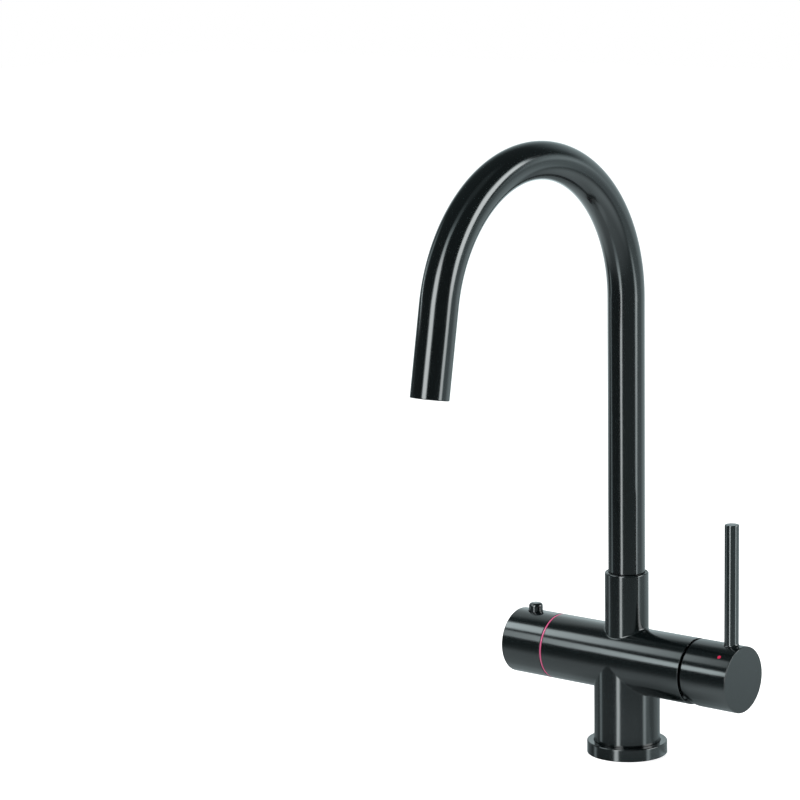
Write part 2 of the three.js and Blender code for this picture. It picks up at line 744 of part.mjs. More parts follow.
function mixerHub() {
  const rimSteps = [0, 0.16, 0.33, 0.55, 0.77, 1];
  const outside = rimSteps.map((share) => [barRadius, hubRim + reliefLength * share]);
  const shell = turned([
    [hubBoreRadius, hubRim],
    ...outside,
    [barRadius, hubEnd - hubEdge],
    [barRadius - hubEdge, hubEnd],
    [0, hubEnd],
    [0, socketEnd],
    [stemSocketRadius, socketEnd],
    [stemSocketRadius, hubFloor],
    [hubBoreRadius, hubFloor],
  ], 'x', barAxis, fineSides);
  const leverHole = rod(
    leverRadius + fitGap, leverFoot - fitGap, barCrest + 1, 'z', [leverX, 0], smallSides + 8,
  );
  const screwHole = rod(
    grubScrewRadius + fitGap, barAxisHeight - barRadius - 1, barAxisHeight, 'z', [leverX, 0], 12,
  );
  const pocketFloor = barRadius - dotDepth - fitGap;
  const pockets = [-1, 1].map((side) => dotRod(side, dotRadius + fitGap, pocketFloor, barRadius + 1));
  return cut(relieve(shell), leverHole, screwHole, ...pockets);
}

const leverFoot = barAxisHeight + stemSocketRadius + leverFootWall;

function mixerLever() {
  return turned([
    [0, leverFoot],
    [leverRadius, leverFoot],
    [leverRadius, leverTop - leverEdge],
    [leverRadius - leverEdge, leverTop],
    [0, leverTop],
  ], 'z', [leverX, 0], smallSides + 8);
}

// A headless screw from the underside of a knob or hub up to the shaft that it grips.
function grubScrew(x, shaftRadius) {
  const bottom = barAxisHeight - barRadius + grubScrewInset;
  return rod(grubScrewRadius, bottom, barAxisHeight - shaftRadius - fitGap, 'z', [x, 0], 12);
}

// ---------------------------------------------------------------------------------------------------
// Boiling headwork
// ---------------------------------------------------------------------------------------------------

const headworkBoreEnd = headworkInner - 2 * (headworkDiscThickness + fitGap) - spindleFootLength - 2 * fitGap;

function headworkSeal() {
  const right = headworkChamberEnd - fitGap;
  const left = right - headworkSealThickness;
  return sleeve(headworkRadius, headworkDiscRadius, left, right, 'x', barAxis, mediumSides);
}

function headworkBody() {
  return turned([
    [headworkDiscRadius + fitGap, headworkInner],
    [headworkDiscRadius + fitGap, headworkBoreEnd],
    [spindleRadius + fitGap, headworkBoreEnd],
    [spindleRadius + fitGap, headworkEnd],
    [headworkNeckRadius, headworkEnd],
    [headworkNeckRadius, spigotEnd],
    [headworkRadius, spigotEnd],
    [headworkRadius, headworkInner],
  ], 'x', barAxis, mediumSides);
}

// One of the two ceramic discs, with its pair of ports on the given side of the axis.
function headworkDisc(right, dy, dz) {
  const left = right - headworkDiscThickness;
  const disc = rod(headworkDiscRadius, left, right, 'x', barAxis, mediumSides);
  const holes = [-1, 1].map((side) => {
    const at = [side * dy, barAxisHeight + side * dz];
    return rod(discPortRadius, left - 1, right + 1, 'x', at, tinySides);
  });
  return cut(disc, ...holes);
}

const fixedHeadworkDiscRight = headworkInner - fitGap;
const turningHeadworkDiscRight = fixedHeadworkDiscRight - headworkDiscThickness - fitGap;

function headworkSpindle() {
  const footRight = turningHeadworkDiscRight - headworkDiscThickness - fitGap;
  const footLeft = footRight - spindleFootLength;
  return turned([
    [0, footRight],
    [headworkDiscRadius, footRight],
    [headworkDiscRadius, footLeft],
    [spindleRadius, footLeft],
    [spindleRadius, spindleSocketEnd + fitGap],
    [0, spindleSocketEnd + fitGap],
  ], 'x', barAxis, mediumSides);
}

function headworkNut() {
  const right = lockWebLeft - fitGap;
  const hex = rod(headworkNutRadius, headworkNutLeft, right, 'x', barAxis, 6);
  const hole = rod(headworkNeckRadius + fitGap, headworkNutLeft - 1, right + 1, 'x', barAxis, mediumSides);
  return cut(hex, hole);
}

// ---------------------------------------------------------------------------------------------------
// Boiling knob, indicator ring and child lock
// ---------------------------------------------------------------------------------------------------

function indicatorRing() {
  const crown = ringSideGap;
  const middle = (ringLeft + ringRight) / 2;
  return turned([
    [indicatorRadius - ringHeight, ringLeft],
    [indicatorRadius - crown, ringLeft],
    [indicatorRadius, middle],
    [indicatorRadius - crown, ringRight],
    [indicatorRadius - ringHeight, ringRight],
  ], 'x', barAxis, fineSides);
}

function boilingKnob() {
  const rimBore = spigotRadius + 2 * fitGap;
  const rimBoreEnd = spigotEnd - 2 * fitGap;
  const shell = turned([
    [rimBore, knobRim],
    [barRadius, knobRim],
    [barRadius, knobEnd + knobEdge],
    [barRadius - knobEdge, knobEnd],
    [0, knobEnd],
    [0, spindleSocketEnd],
    [spindleSocketRadius, spindleSocketEnd],
    [spindleSocketRadius, knobFloor],
    [knobBoreRadius, knobFloor],
    [knobBoreRadius, rimBoreEnd],
    [rimBore, rimBoreEnd],
  ], 'x', barAxis, fineSides);
  const at = [buttonX, 0];
  const well = rod(buttonRadius + fitGap, springWellFloor, barCrest + 1, 'z', at, smallSides + 8);
  const shankHole = rod(buttonShankRadius + fitGap, latchSlotTop - 1, springWellFloor + 1, 'z', at, 12);
  const half = latchWidth / 2 + fitGap;
  const slot = block(
    [buttonX - buttonShankRadius - 2 * fitGap - 1, -half, latchSlotFloor],
    [knobFloor + 1, half, latchSlotTop],
  );
  const screwHole = rod(
    grubScrewRadius + fitGap, barAxisHeight - barRadius - 1, barAxisHeight, 'z', at, 12,
  );
  return cut(shell, well, shankHole, slot, screwHole);
}

function childLockButton() {
  return turned([
    [0, latchBottom],
    [buttonShankRadius, latchBottom],
    [buttonShankRadius, buttonHeadBottom],
    [buttonRadius, buttonHeadBottom],
    [buttonRadius, buttonTop - buttonEdge],
    [buttonRadius - buttonEdge * 0.3, buttonTop - buttonEdge * 0.3],
    [buttonRadius - buttonEdge, buttonTop],
    [0, buttonTop],
  ], 'z', [buttonX, 0], smallSides + 8);
}

// The arm from the button's shank to the nose that stands in the lock ring's slot.
function lockLatch() {
  const half = latchWidth / 2;
  const arm = block(
    [buttonX - buttonShankRadius - fitGap - 1, -half, latchBottom],
    [noseRight, half, latchTop],
  );
  const nose = block([noseLeft, -half, latchBottom], [noseRight, half, latchTop + latchNoseHeight]);
  const hole = rod(buttonShankRadius + fitGap, latchBottom - 1, latchTop + 1, 'z', [buttonX, 0], 12);
  return cut(join(arm, nose), hole);
}

// The ring that the latch works in. Its slot is as long as the knob's turn, and its ends stop the knob.
function lockRing() {
  const ring = turned([
    [headworkNeckRadius + fitGap, lockWebLeft],
    [headworkNeckRadius + fitGap, lockWebRight],
    [lockRingRadius, lockWebRight],
    [lockRingRadius, lockRingLeft],
    [lockRingBoreRadius, lockRingLeft],
    [lockRingBoreRadius, lockWebLeft],
  ], 'x', barAxis, mediumSides);
  const margin = THREE.MathUtils.radToDeg(Math.asin((latchWidth / 2 + 2 * fitGap) / lockRingBoreRadius));
  const sector = ringSector(
    lockRingBoreRadius - 1, lockSlotRadius, -margin, knobTurn + margin, lockRingLeft - 1, lockWebLeft,
  );
  // The sector is drawn from +X towards +Y, and stands here from the top towards the front.
  sector.applyMatrix4(new THREE.Matrix4().makeBasis(
    new THREE.Vector3(0, 0, 1), new THREE.Vector3(0, -1, 0), new THREE.Vector3(1, 0, 0),
  ));
  return cut(ring, sector.translate(0, 0, barAxisHeight));
}

// A compression spring between two heights: one wire of round section along a helix.
class Helix extends THREE.Curve {
  constructor(radius, low, high, turns) {
    super();
    Object.assign(this, { radius, low, high, turns });
  }

  getPoint(share, target = new THREE.Vector3()) {
    const angle = share * this.turns * Math.PI * 2;
    const height = this.low + (this.high - this.low) * share;
    return target.set(this.radius * Math.cos(angle), this.radius * Math.sin(angle), height);
  }
}

function lockSpring() {
  const low = springWellFloor + springWireRadius + springSeatGap;
  const high = buttonHeadBottom - springWireRadius - springSeatGap;
  const coilRadius = (buttonRadius + buttonShankRadius) / 2;
  const wire = new THREE.Shape();
  wire.absarc(0, 0, springWireRadius, 0, Math.PI * 2, false);
  const settings = {
    steps: Math.round(springTurns * 8),
    curveSegments: 5,
    bevelEnabled: false,
    extrudePath: new Helix(coilRadius, low, high, springTurns),
  };
  return new THREE.ExtrudeGeometry(wire, settings).translate(buttonX, 0, 0);
}

// ---------------------------------------------------------------------------------------------------
// Spout
// ---------------------------------------------------------------------------------------------------

const stopHeight = spoutFoot - fitGap - stopDrop;
const spigotFoot = neckFloor + spigotFootGap;
const spigotShoulder = spoutFoot - fitGap;
const spigotORingHeights = spigotORingRises.map((rise) => spigotFoot + rise);
const bendEnd = radians(archAngle);
const bendSteps = 20;

// Stations along the spout's centreline in the YZ plane: place and direction of travel. The line runs
// up from a foot height, round the arch and down the straight outlet, short of its end by a length.
function spoutStations(foot, shortBy, steps) {
  const stations = [{ y: 0, z: foot, ty: 0, tz: 1 }];
  for (let i = 0; i <= steps; i += 1) {
    const angle = (bendEnd * i) / steps;
    stations.push({
      y: archRadius * (Math.cos(angle) - 1),
      z: archCentreHeight + archRadius * Math.sin(angle),
      ty: -Math.sin(angle),
      tz: Math.cos(angle),
    });
  }
  const last = stations[stations.length - 1];
  const run = outletLength - shortBy;
  stations.push({ ...last, y: last.y + last.ty * run, z: last.z + last.tz * run });
  return stations;
}

// A tube of annular section swept along stations in the YZ plane, closed by flat rings at both ends.
function sweptTube(stations, outer, inner, outerSides, innerSides) {
  const positions = [];
  const indices = [];
  const skins = [[outer, outerSides], [inner, innerSides]].map(([radius, sides]) => {
    const start = positions.length / 3;
    for (const { y, z, ty, tz } of stations) {
      for (let i = 0; i < sides; i += 1) {
        const angle = (i / sides) * Math.PI * 2;
        const across = radius * Math.cos(angle);
        const out = radius * Math.sin(angle);
        positions.push(across, y + out * tz, z - out * ty);
      }
    }
    return { start, sides };
  });
  const vertex = (skin, row, i) => skin.start + row * skin.sides + (i % skin.sides);
  skins.forEach((skin, inward) => {
    for (let row = 0; row + 1 < stations.length; row += 1) {
      for (let i = 0; i < skin.sides; i += 1) {
        const corners = [
          vertex(skin, row, i),
          vertex(skin, row, i + 1),
          vertex(skin, row + 1, i + 1),
          vertex(skin, row + 1, i),
        ];
        if (inward) corners.reverse();
        indices.push(corners[0], corners[1], corners[2], corners[0], corners[2], corners[3]);
      }
    }
  });
  // The end rings join an outer and an inner skin of different counts, by walking round both.
  const [outside, inside] = skins;
  [0, stations.length - 1].forEach((row, end) => {
    let i = 0;
    let j = 0;
    while (i < outside.sides || j < inside.sides) {
      const stepOuter = (i + 1) / outside.sides <= (j + 1) / inside.sides;
      const next = stepOuter ? vertex(outside, row, i + 1) : vertex(inside, row, j + 1);
      const triangle = [vertex(outside, row, i), vertex(inside, row, j), next];
      if (end) triangle.reverse();
      indices.push(...triangle);
      if (stepOuter) i += 1;
      else j += 1;
    }
  });
  const geometry = new THREE.BufferGeometry();
  geometry.setAttribute('position', new THREE.Float32BufferAttribute(positions, 3));
  geometry.setIndex(indices);
  return geometry;
}

function spoutTube() {
  return sweptTube(spoutStations(spoutFoot, 0, bendSteps), spoutRadius, spoutBoreRadius, 24, smallSides);
}

// The brass spigot that the pipe is brazed on. It turns in the neck on its O-rings, and the stop screw
// reaches into the groove in its back.
function spoutSpigot() {
  const barrelRadius = neckBoreRadius - fitGap;
  const grooveRadius = neckBoreRadius - 2 * oRingSection - 2 * fitGap;
  const half = oRingGrooveWidth / 2;
  const grooves = spigotORingHeights.flatMap((height) => [
    [barrelRadius, height - half],
    [grooveRadius, height - half],
    [grooveRadius, height + half],
    [barrelRadius, height + half],
  ]);
  const barrel = turned([
    [spigotBoreRadius, spigotFoot],
    [barrelRadius, spigotFoot],
    ...grooves,
    [barrelRadius, spigotShoulder],
    [spoutBoreRadius - fitGap, spigotShoulder],
    [spoutBoreRadius - fitGap, spoutFoot + spigotSleeveLength],
    [spigotBoreRadius, spoutFoot + spigotSleeveLength],
  ], 'z', [0, 0], mediumSides);
  const stopRadius = barrelRadius - stopGrooveDepth;
  const screwAngle = THREE.MathUtils.radToDeg(Math.asin((stopScrewRadius + fitGap) / stopRadius));
  const reach = swivelAngle + screwAngle;
  const halfHeight = stopScrewRadius + fitGap;
  const groove = ringSector(
    stopRadius, barrelRadius + 2, 90 - reach, 90 + reach, stopHeight - halfHeight, stopHeight + halfHeight,
  );
  return cut(barrel, groove);
}

function stopScrew() {
  const nose = neckBoreRadius - stopGrooveDepth;
  return rod(stopScrewRadius, nose, neckRadius - fitGap, 'y', [0, stopHeight], tinySides);
}

function glideRing() {
  const top = neckTop - glideRingDepth;
  return sleeve(
    neckBoreRadius - fitGap, spoutRadius + fitGap, top - glideRingHeight, top, 'z', [0, 0], mediumSides,
  );
}

function boilingWaterTube() {
  const foot = neckFloor - boilingSocketDepth + fitGap;
  const shortBy = outletRecess + nozzleTipLength + fitGap;
  const stations = spoutStations(foot, shortBy, 14);
  return sweptTube(stations, boilingTubeRadius, boilingTubeRadius - boilingTubeWall, 8, 6);
}

function boilingTubeSeal() {
  const inner = boilingTubeRadius + fitGap;
  const low = neckFloor + fitGap;
  return sleeve(inner + boilingSealWidth, inner, low, low + boilingSealHeight, 'z');
}

// ---------------------------------------------------------------------------------------------------
// Outlet: made with its mouth at height 0 and the water coming down, and placed at the spout's end
// ---------------------------------------------------------------------------------------------------

const aeratorRadius = spoutBoreRadius - fitGap;
const aeratorBoreRadius = aeratorRadius - aeratorWall;
const aeratorLipRadius = aeratorBoreRadius - aeratorLip;
const nozzleSocketRadius = boilingTubeRadius + fitGap;

function aeratorHousing() {
  const top = outletRecess + aeratorLength;
  return turned([
    [aeratorBoreRadius, outletRecess],
    [aeratorRadius, outletRecess],
    [aeratorRadius, top],
    [aeratorLipRadius, top],
    [aeratorLipRadius, top - aeratorWall],
    [aeratorBoreRadius, top - aeratorWall],
  ], 'z', [0, 0], mediumSides);
}

function aeratorScreen() {
  const low = outletRecess + screenRecess;
  const high = low + screenThickness;
  const inner = nozzleTipRadius + fitGap;
  const outer = aeratorBoreRadius - fitGap;
  const disc = sleeve(outer, inner, low, high, 'z', [0, 0], mediumSides);
  const holes = [];
  const rings = [[inner + (outer - inner) * 0.3, 8], [inner + (outer - inner) * 0.7, 12]];
  for (const [radius, count] of rings) {
    for (let i = 0; i < count; i += 1) {
      const angle = (i / count) * Math.PI * 2;
      const at = [radius * Math.cos(angle), radius * Math.sin(angle)];
      holes.push(rod(screenHoleRadius, low - 1, high + 1, 'z', at, 5));
    }
  }
  return cut(disc, ...holes);
}

function aeratorSeal() {
  const low = outletRecess + aeratorLength + fitGap;
  return sleeve(aeratorRadius, aeratorLipRadius, low, low + aeratorSealThickness, 'z', [0, 0], mediumSides);
}

function boilingNozzle() {
  const tipTop = outletRecess + nozzleTipLength;
  const outer = nozzleSocketRadius + nozzleWall;
  return turned([
    [nozzleBoreRadius, outletRecess],
    [nozzleTipRadius, outletRecess],
    [nozzleTipRadius, tipTop - nozzleWall],
    [outer, tipTop - nozzleWall],
    [outer, tipTop + nozzleSocketLength],
    [nozzleSocketRadius, tipTop + nozzleSocketLength],
    [nozzleSocketRadius, tipTop],
    [nozzleBoreRadius, tipTop],
  ], 'z', [0, 0], smallSides);
}

// ---------------------------------------------------------------------------------------------------
// Assembly
// ---------------------------------------------------------------------------------------------------

const tap = new THREE.Group();

const foot = new THREE.Group();
tap.add(foot);
piece(foot, 'base_flange', baseFlange(), gunmetal);
piece(foot, 'deck_gasket', deckGasket(), rubber);
piece(foot, 'inlet_manifold', inletManifold(), brass);
piece(foot, 'manifold_o_ring', manifoldORing(), rubber);
piece(foot, 'hot_feed_pipe', feedPipe(mixerFeeds[0]), copper);
piece(foot, 'cold_feed_pipe', feedPipe(mixerFeeds[1]), copper);
piece(foot, 'boiling_feed_pipe', feedPipe(boilingFeed), copper);

piece(tap, 'body_casting', bodyCasting(), gunmetal);

const mixer = new THREE.Group();
tap.add(mixer);
piece(mixer, 'cartridge_seal', cartridgeSeal(), rubber);
piece(mixer, 'cartridge_housing', cartridgeHousing(), engineeringPlastic);
piece(mixer, 'fixed_ceramic_disc', fixedDisc(), ceramic);
piece(mixer, 'moving_ceramic_disc', movingDisc(), ceramic);
piece(mixer, 'disc_carrier', discCarrier(), darkPlastic);
piece(mixer, 'stem_guide', stemGuide(), darkPlastic);
piece(mixer, 'stem_pivot_pin', stemPivotPin(), steel);
piece(mixer, 'mixer_stem', mixerStem(), brass);
piece(mixer, 'cartridge_nut', cartridgeNut(), brass);
piece(mixer, 'dome_cover', domeCover(), gunmetal);
piece(mixer, 'mixer_hub', mixerHub(), gunmetal);
piece(mixer, 'mixer_lever', mixerLever(), gunmetal);
piece(mixer, 'hub_grub_screw', grubScrew(leverX, stemRadius), steel);
piece(mixer, 'hot_index_dot', dotRod(-1, dotRadius, barRadius - dotDepth, barRadius), signalRed);
piece(mixer, 'cold_index_dot', dotRod(1, dotRadius, barRadius - dotDepth, barRadius), signalBlue);

const boiling = new THREE.Group();
tap.add(boiling);
piece(boiling, 'headwork_seal', headworkSeal(), rubber);
piece(boiling, 'headwork_body', headworkBody(), brass);
piece(boiling, 'headwork_fixed_disc', headworkDisc(fixedHeadworkDiscRight, 0, discPortOffset), ceramic);
piece(boiling, 'headwork_turning_disc', headworkDisc(turningHeadworkDiscRight, discPortOffset, 0), ceramic);
piece(boiling, 'headwork_spindle', headworkSpindle(), brass);
piece(boiling, 'headwork_nut', headworkNut(), brass);
piece(boiling, 'boiling_indicator_ring', indicatorRing(), signalRed);
piece(boiling, 'boiling_knob', boilingKnob(), gunmetal);
piece(boiling, 'knob_grub_screw', grubScrew(buttonX, spindleRadius), steel);
piece(boiling, 'child_lock_button', childLockButton(), gunmetal);
piece(boiling, 'lock_latch', lockLatch(), steel);
piece(boiling, 'lock_spring', lockSpring(), steel);
piece(boiling, 'lock_ring', lockRing(), darkPlastic);

const spout = new THREE.Group();
tap.add(spout);
piece(spout, 'spout_tube', spoutTube(), gunmetal);
piece(spout, 'spout_spigot', spoutSpigot(), brass);
spigotORingHeights.forEach((height, i) => {
  const ring = roundRing(neckBoreRadius - fitGap - oRingSection, oRingSection, height, 'z');
  piece(spout, i === 0 ? 'spout_o_ring_lower' : 'spout_o_ring_upper', ring, rubber);
});
piece(spout, 'spout_glide_ring', glideRing(), darkPlastic);
piece(spout, 'spout_stop_screw', stopScrew(), steel);
piece(spout, 'boiling_water_tube', boilingWaterTube(), steel);
piece(spout, 'boiling_tube_seal', boilingTubeSeal(), rubber);

const outlet = new THREE.Group();
const mouth = spoutStations(spoutFoot, 0, 1).at(-1);
outlet.position.set(0, mouth.y, mouth.z);
outlet.rotation.x = Math.PI + bendEnd;
spout.add(outlet);
piece(outlet, 'aerator_housing', aeratorHousing(), darkPlastic);
piece(outlet, 'aerator_screen', aeratorScreen(), steel);
piece(outlet, 'aerator_seal', aeratorSeal(), rubber);
piece(outlet, 'boiling_nozzle', boilingNozzle(), steel);

export default tap;
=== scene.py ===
"""A boiling water tap in glossy gun-metal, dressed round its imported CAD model.

Sizes are in millimetres until a mesh is made. Z is up, X runs along the bar with the mixer lever at +X,
and the spout reaches towards -Y.
"""
import math

import bpy
import numpy as np
from mathutils import Matrix, Vector


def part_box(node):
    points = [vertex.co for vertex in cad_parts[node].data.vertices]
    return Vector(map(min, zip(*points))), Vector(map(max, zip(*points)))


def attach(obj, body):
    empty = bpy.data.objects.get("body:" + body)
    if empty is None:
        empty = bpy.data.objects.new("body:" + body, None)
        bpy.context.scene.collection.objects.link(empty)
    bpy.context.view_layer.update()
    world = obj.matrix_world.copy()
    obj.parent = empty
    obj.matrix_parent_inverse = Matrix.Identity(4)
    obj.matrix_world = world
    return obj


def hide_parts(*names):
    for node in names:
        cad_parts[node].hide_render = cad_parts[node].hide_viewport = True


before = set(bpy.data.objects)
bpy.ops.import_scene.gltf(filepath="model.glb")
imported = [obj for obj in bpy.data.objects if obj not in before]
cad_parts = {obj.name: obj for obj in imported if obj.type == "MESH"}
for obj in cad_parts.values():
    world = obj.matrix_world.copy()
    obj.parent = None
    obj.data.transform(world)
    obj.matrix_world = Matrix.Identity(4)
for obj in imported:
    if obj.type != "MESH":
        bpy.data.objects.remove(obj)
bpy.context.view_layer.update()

MM = 0.001
link = bpy.context.scene.collection.objects.link


def low(node, axis):
    """The lowest value of a CAD node along x, y or z, in millimetres."""
    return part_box(node)[0]["xyz".index(axis)] / MM


def high(node, axis):
    """The highest value of a CAD node along x, y or z, in millimetres."""
    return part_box(node)[1]["xyz".index(axis)] / MM


def middle(node, axis):
    """The middle of a CAD node along x, y or z, in millimetres."""
    return (low(node, axis) + high(node, axis)) / 2


# --- Driving sizes: the frame's own where a node gives them, the rest as in the CAD source ---

AROUND = 128  # steps round a visible turned surface
QUARTER = AROUND // 4
ARC_STEP = math.radians(11)  # of a rounding arc
TINY = 1e-6

BAR_RADIUS = high("mixer_hub", "y")
BAR_HEIGHT = middle("mixer_hub", "z")
BAR_CREST = BAR_HEIGHT + BAR_RADIUS
HAIRLINE = 0.3  # rounding of an edge beside a joint between two pieces
INNER_EDGE = 0.2  # rounding of an edge that hardly shows

FLANGE_RADIUS = high("base_flange", "x")
FLANGE_HEIGHT = high("base_flange", "z")
FLANGE_EDGE = 0.75
FLANGE_SEAT = 22.8
FLANGE_SEAT_FLOOR = 5.0
FLANGE_BORE = 15.9
GASKET_OUTER = high("deck_gasket", "x")
GASKET_WIDTH = 4.5
GASKET_INNER = GASKET_OUTER - GASKET_WIDTH
GASKET_TOP = high("deck_gasket", "z")

BODY_RIGHT = high("body_casting", "x")
BODY_LEFT = -56.6
SPIGOT_END = low("body_casting", "x")
SPIGOT_RADIUS = 19.65
HEADWORK_CHAMBER = 11.0
HEADWORK_CHAMBER_END = -34.6
COLUMN_FOOT = low("body_casting", "z")
COLUMN_COLLAR = COLUMN_FOOT + 3  # where the column's foot starts
COLUMN_BORE = 18.5
COLUMN_BORE_TOP = 40.95
COLUMN_FILLET = 0.35  # in the crease between column and bar
MIXER_CHAMBER = [(21.2, 52.07), (15.9, 45.7), (14.1, 39.4)]  # radius, floor

NECK_RADIUS = 14.9
NECK_TOP = high("body_casting", "z")
NECK_COLLAR = NECK_TOP - 5  # where the neck's rim starts
NECK_EDGE = 1.05
NECK_BORE = 13.7
NECK_FLOOR = 83.85
NECK_FILLET = 1.3  # where the neck rises from the bar
TUBE_SOCKET = 3.8
TUBE_SOCKET_FLOOR = 76.85

PIPE_RADIUS = high("spout_tube", "x")
PIPE_WALL = 1.4
PIPE_BORE = PIPE_RADIUS - PIPE_WALL
PIPE_FOOT = low("spout_tube", "z")
PIPE_END_EDGE = 0.6
ARCH_RADIUS = 99.4
FACET_SAG = 0.2  # by which the facets of the CAD pipe fall short of its crest
ARCH_CENTRE = high("spout_tube", "z") - ARCH_RADIUS - PIPE_RADIUS + FACET_SAG
ARCH_ANGLE = math.radians(169.9)
OUTLET_LENGTH = 58.2
OUTLET_RECESS = 0.8

HUB_RIM = low("mixer_hub", "x")
HUB_END = high("mixer_hub", "x")
HUB_EDGE = 0.55
HUB_BORE = 19.24
HUB_FLOOR = 77.8
STEM_SOCKET = 4.2
STEM_SOCKET_END = 89.8
RELIEF_LENGTH = 7.5
RELIEF_ARC = 15.0
LEVER_X = middle("mixer_lever", "x")
LEVER_RADIUS = high("mixer_lever", "y")
LEVER_FOOT = low("mixer_lever", "z")
LEVER_TOP = high("mixer_lever", "z")
LEVER_EDGE = 0.5
LEVER_FILLET = 1.4
LEVER_OVERLAP = 0.03  # of the rod over the wall that stands round it in the hub
LEVER_SHOULDER = BAR_CREST - 2.5  # the bottom of the rod's socket in the hub
PIVOT_X = 67.0  # of the axis that the hub tilts about
DOT_RADIUS = 1.25
DOT_DEPTH = 1.0
DOT_PROUD = 0.07
DOT_ANGLE = math.radians(40.3)

RING_LEFT = low("boiling_indicator_ring", "x")
RING_RIGHT = high("boiling_indicator_ring", "x")
RING_OUTER = high("boiling_indicator_ring", "y")
RING_HEIGHT = 2.4
RING_INNER = RING_OUTER - RING_HEIGHT
RING_EDGE = 0.35
KNOB_RIM = high("boiling_knob", "x")
KNOB_END = low("boiling_knob", "x")
KNOB_EDGE = 0.75
KNOB_RIM_BORE = 20.25
KNOB_RIM_BORE_END = -60.5
KNOB_BORE = 18.9
KNOB_FLOOR = -68.2
SPINDLE_SOCKET = 3.3
SPINDLE_SOCKET_END = -83.5
BUTTON_X = middle("child_lock_button", "x")
BUTTON_RADIUS = high("child_lock_button", "y")
BUTTON_STEM = 1.6
BUTTON_FOOT = 84.05
BUTTON_TOP = high("child_lock_button", "z")
BUTTON_EDGE = 2.3
BUTTON_GAP = 0.3
BUTTON_WELL = BUTTON_RADIUS + BUTTON_GAP
BUTTON_WELL_FLOOR = 78.3
SCREW_HOLE = 2.3
SCREW_HOLE_EDGE = 0.25
SCREW_HOLE_DEPTH = 6.0
SCREW_CEILING = BAR_HEIGHT - BAR_RADIUS + SCREW_HOLE_DEPTH

# The camera, solved from the photograph's edges
CAMERA_PLACE = (1189.256, -1647.650, 596.762)
CAMERA_YAW = math.radians(40.110)
CAMERA_PITCH = math.radians(9.809)
CAMERA_ROLL = math.radians(-0.871)
CAMERA_FOCAL = 3062.747  # in pixels of the 800 pixel frame
FRAME_PIXELS = 800
SENSOR = 36.0


# --- Camera ---


def add_camera():
    forward = Vector((
        -math.sin(CAMERA_YAW) * math.cos(CAMERA_PITCH),
        math.cos(CAMERA_YAW) * math.cos(CAMERA_PITCH),
        -math.sin(CAMERA_PITCH),
    ))
    level = Vector((math.cos(CAMERA_YAW), math.sin(CAMERA_YAW), 0))
    upright = level.cross(forward)
    right = level * math.cos(CAMERA_ROLL) + upright * math.sin(CAMERA_ROLL)
    up = upright * math.cos(CAMERA_ROLL) - level * math.sin(CAMERA_ROLL)
    data = bpy.data.cameras.new("camera")
    data.sensor_width = SENSOR
    data.lens = CAMERA_FOCAL / FRAME_PIXELS * SENSOR
    data.clip_start = 0.05
    camera = bpy.data.objects.new("camera", data)
    place = Matrix.Translation(Vector(CAMERA_PLACE) * MM)
    turn = Matrix((right, up, -forward)).transposed().to_4x4()
    camera.matrix_world = place @ turn
    link(camera)
    bpy.context.scene.camera = camera


# --- Skins: grids of points, each with its true normal and its place in the brushing ---


class Axis:
    """A line with two directions across it, for turned shapes."""

    def __init__(self, place, along, first):
        self.place = np.array(place, float)
        self.along = np.array(along, float)
        self.first = np.array(first, float)
        self.second = np.cross(self.along, self.first)

    def radial(self, angles):
        angles = np.asarray(angles, float)[..., None]
        return self.first * np.cos(angles) + self.second * np.sin(angles)


def upright_axis(x=0.0, y=0.0):
    return Axis((x, y, 0), (0, 0, 1), (1, 0, 0))


# Angles about the bar run from its crest towards the front, which is at 90 degrees.
BAR_AXIS = Axis((0, 0, BAR_HEIGHT), (1, 0, 0), (0, 0, 1))
FULL_TURN = np.linspace(math.pi / 2, math.pi / 2 + 2 * math.pi, AROUND + 1)
FLAT_ROUND = np.stack([np.cos(FULL_TURN), np.sin(FULL_TURN), 0 * FULL_TURN], -1)


def unit(v):
    return v / np.maximum(np.linalg.norm(v, axis=-1, keepdims=True), 1e-12)


def patch(points, normals, across, along):
    """A grid of the skin: points and normals are rows x columns x 3, the rest are rows x columns."""
    shape = points.shape[:2]
    brush = np.stack([np.broadcast_to(across, shape), np.broadcast_to(along, shape)], -1)
    return points, np.broadcast_to(normals, points.shape), brush


def outline_runs(corners, closed=True):
    """Splits an outline of (radius, station, rounding) corners into straight runs and rounding arcs.

    The solid lies to the left of the way round. Each run is (points, outward normals)."""
    spots = [np.array(corner[:2], float) for corner in corners]
    count = len(spots)
    joints = []
    for i, here in enumerate(spots):
        rounding = corners[i][2] if len(corners[i]) > 2 else 0
        if rounding == 0 or not (closed or 0 < i < count - 1):
            joints.append((here, here, None))
            continue
        before = unit(here - spots[i - 1])
        after = unit(spots[(i + 1) % count] - here)
        turn = math.atan2(before[0] * after[1] - before[1] * after[0], before @ after)
        reach = rounding * math.tan(abs(turn) / 2)
        side = math.copysign(1, turn)
        out = math.atan2(-before[0], before[1])
        angles = out + np.linspace(0, turn, max(2, math.ceil(abs(turn) / ARC_STEP)) + 1)
        normals = np.stack([np.cos(angles), np.sin(angles)], -1)
        centre = here - before * reach - side * rounding * normals[0]
        arc = (centre + side * rounding * normals, normals)
        joints.append((here - before * reach, here + after * reach, arc))
    runs = []
    for i in range(count if closed else count - 1):
        start = joints[i][1]
        end, _, arc = joints[(i + 1) % count]
        if np.linalg.norm(end - start) > TINY:
            along = unit(end - start)
            normal = np.array([along[1], -along[0]])
            runs.append((np.array([start, end]), np.array([normal, normal])))
        if arc is not None and (closed or i < count - 2):
            runs.append(arc)
    return runs


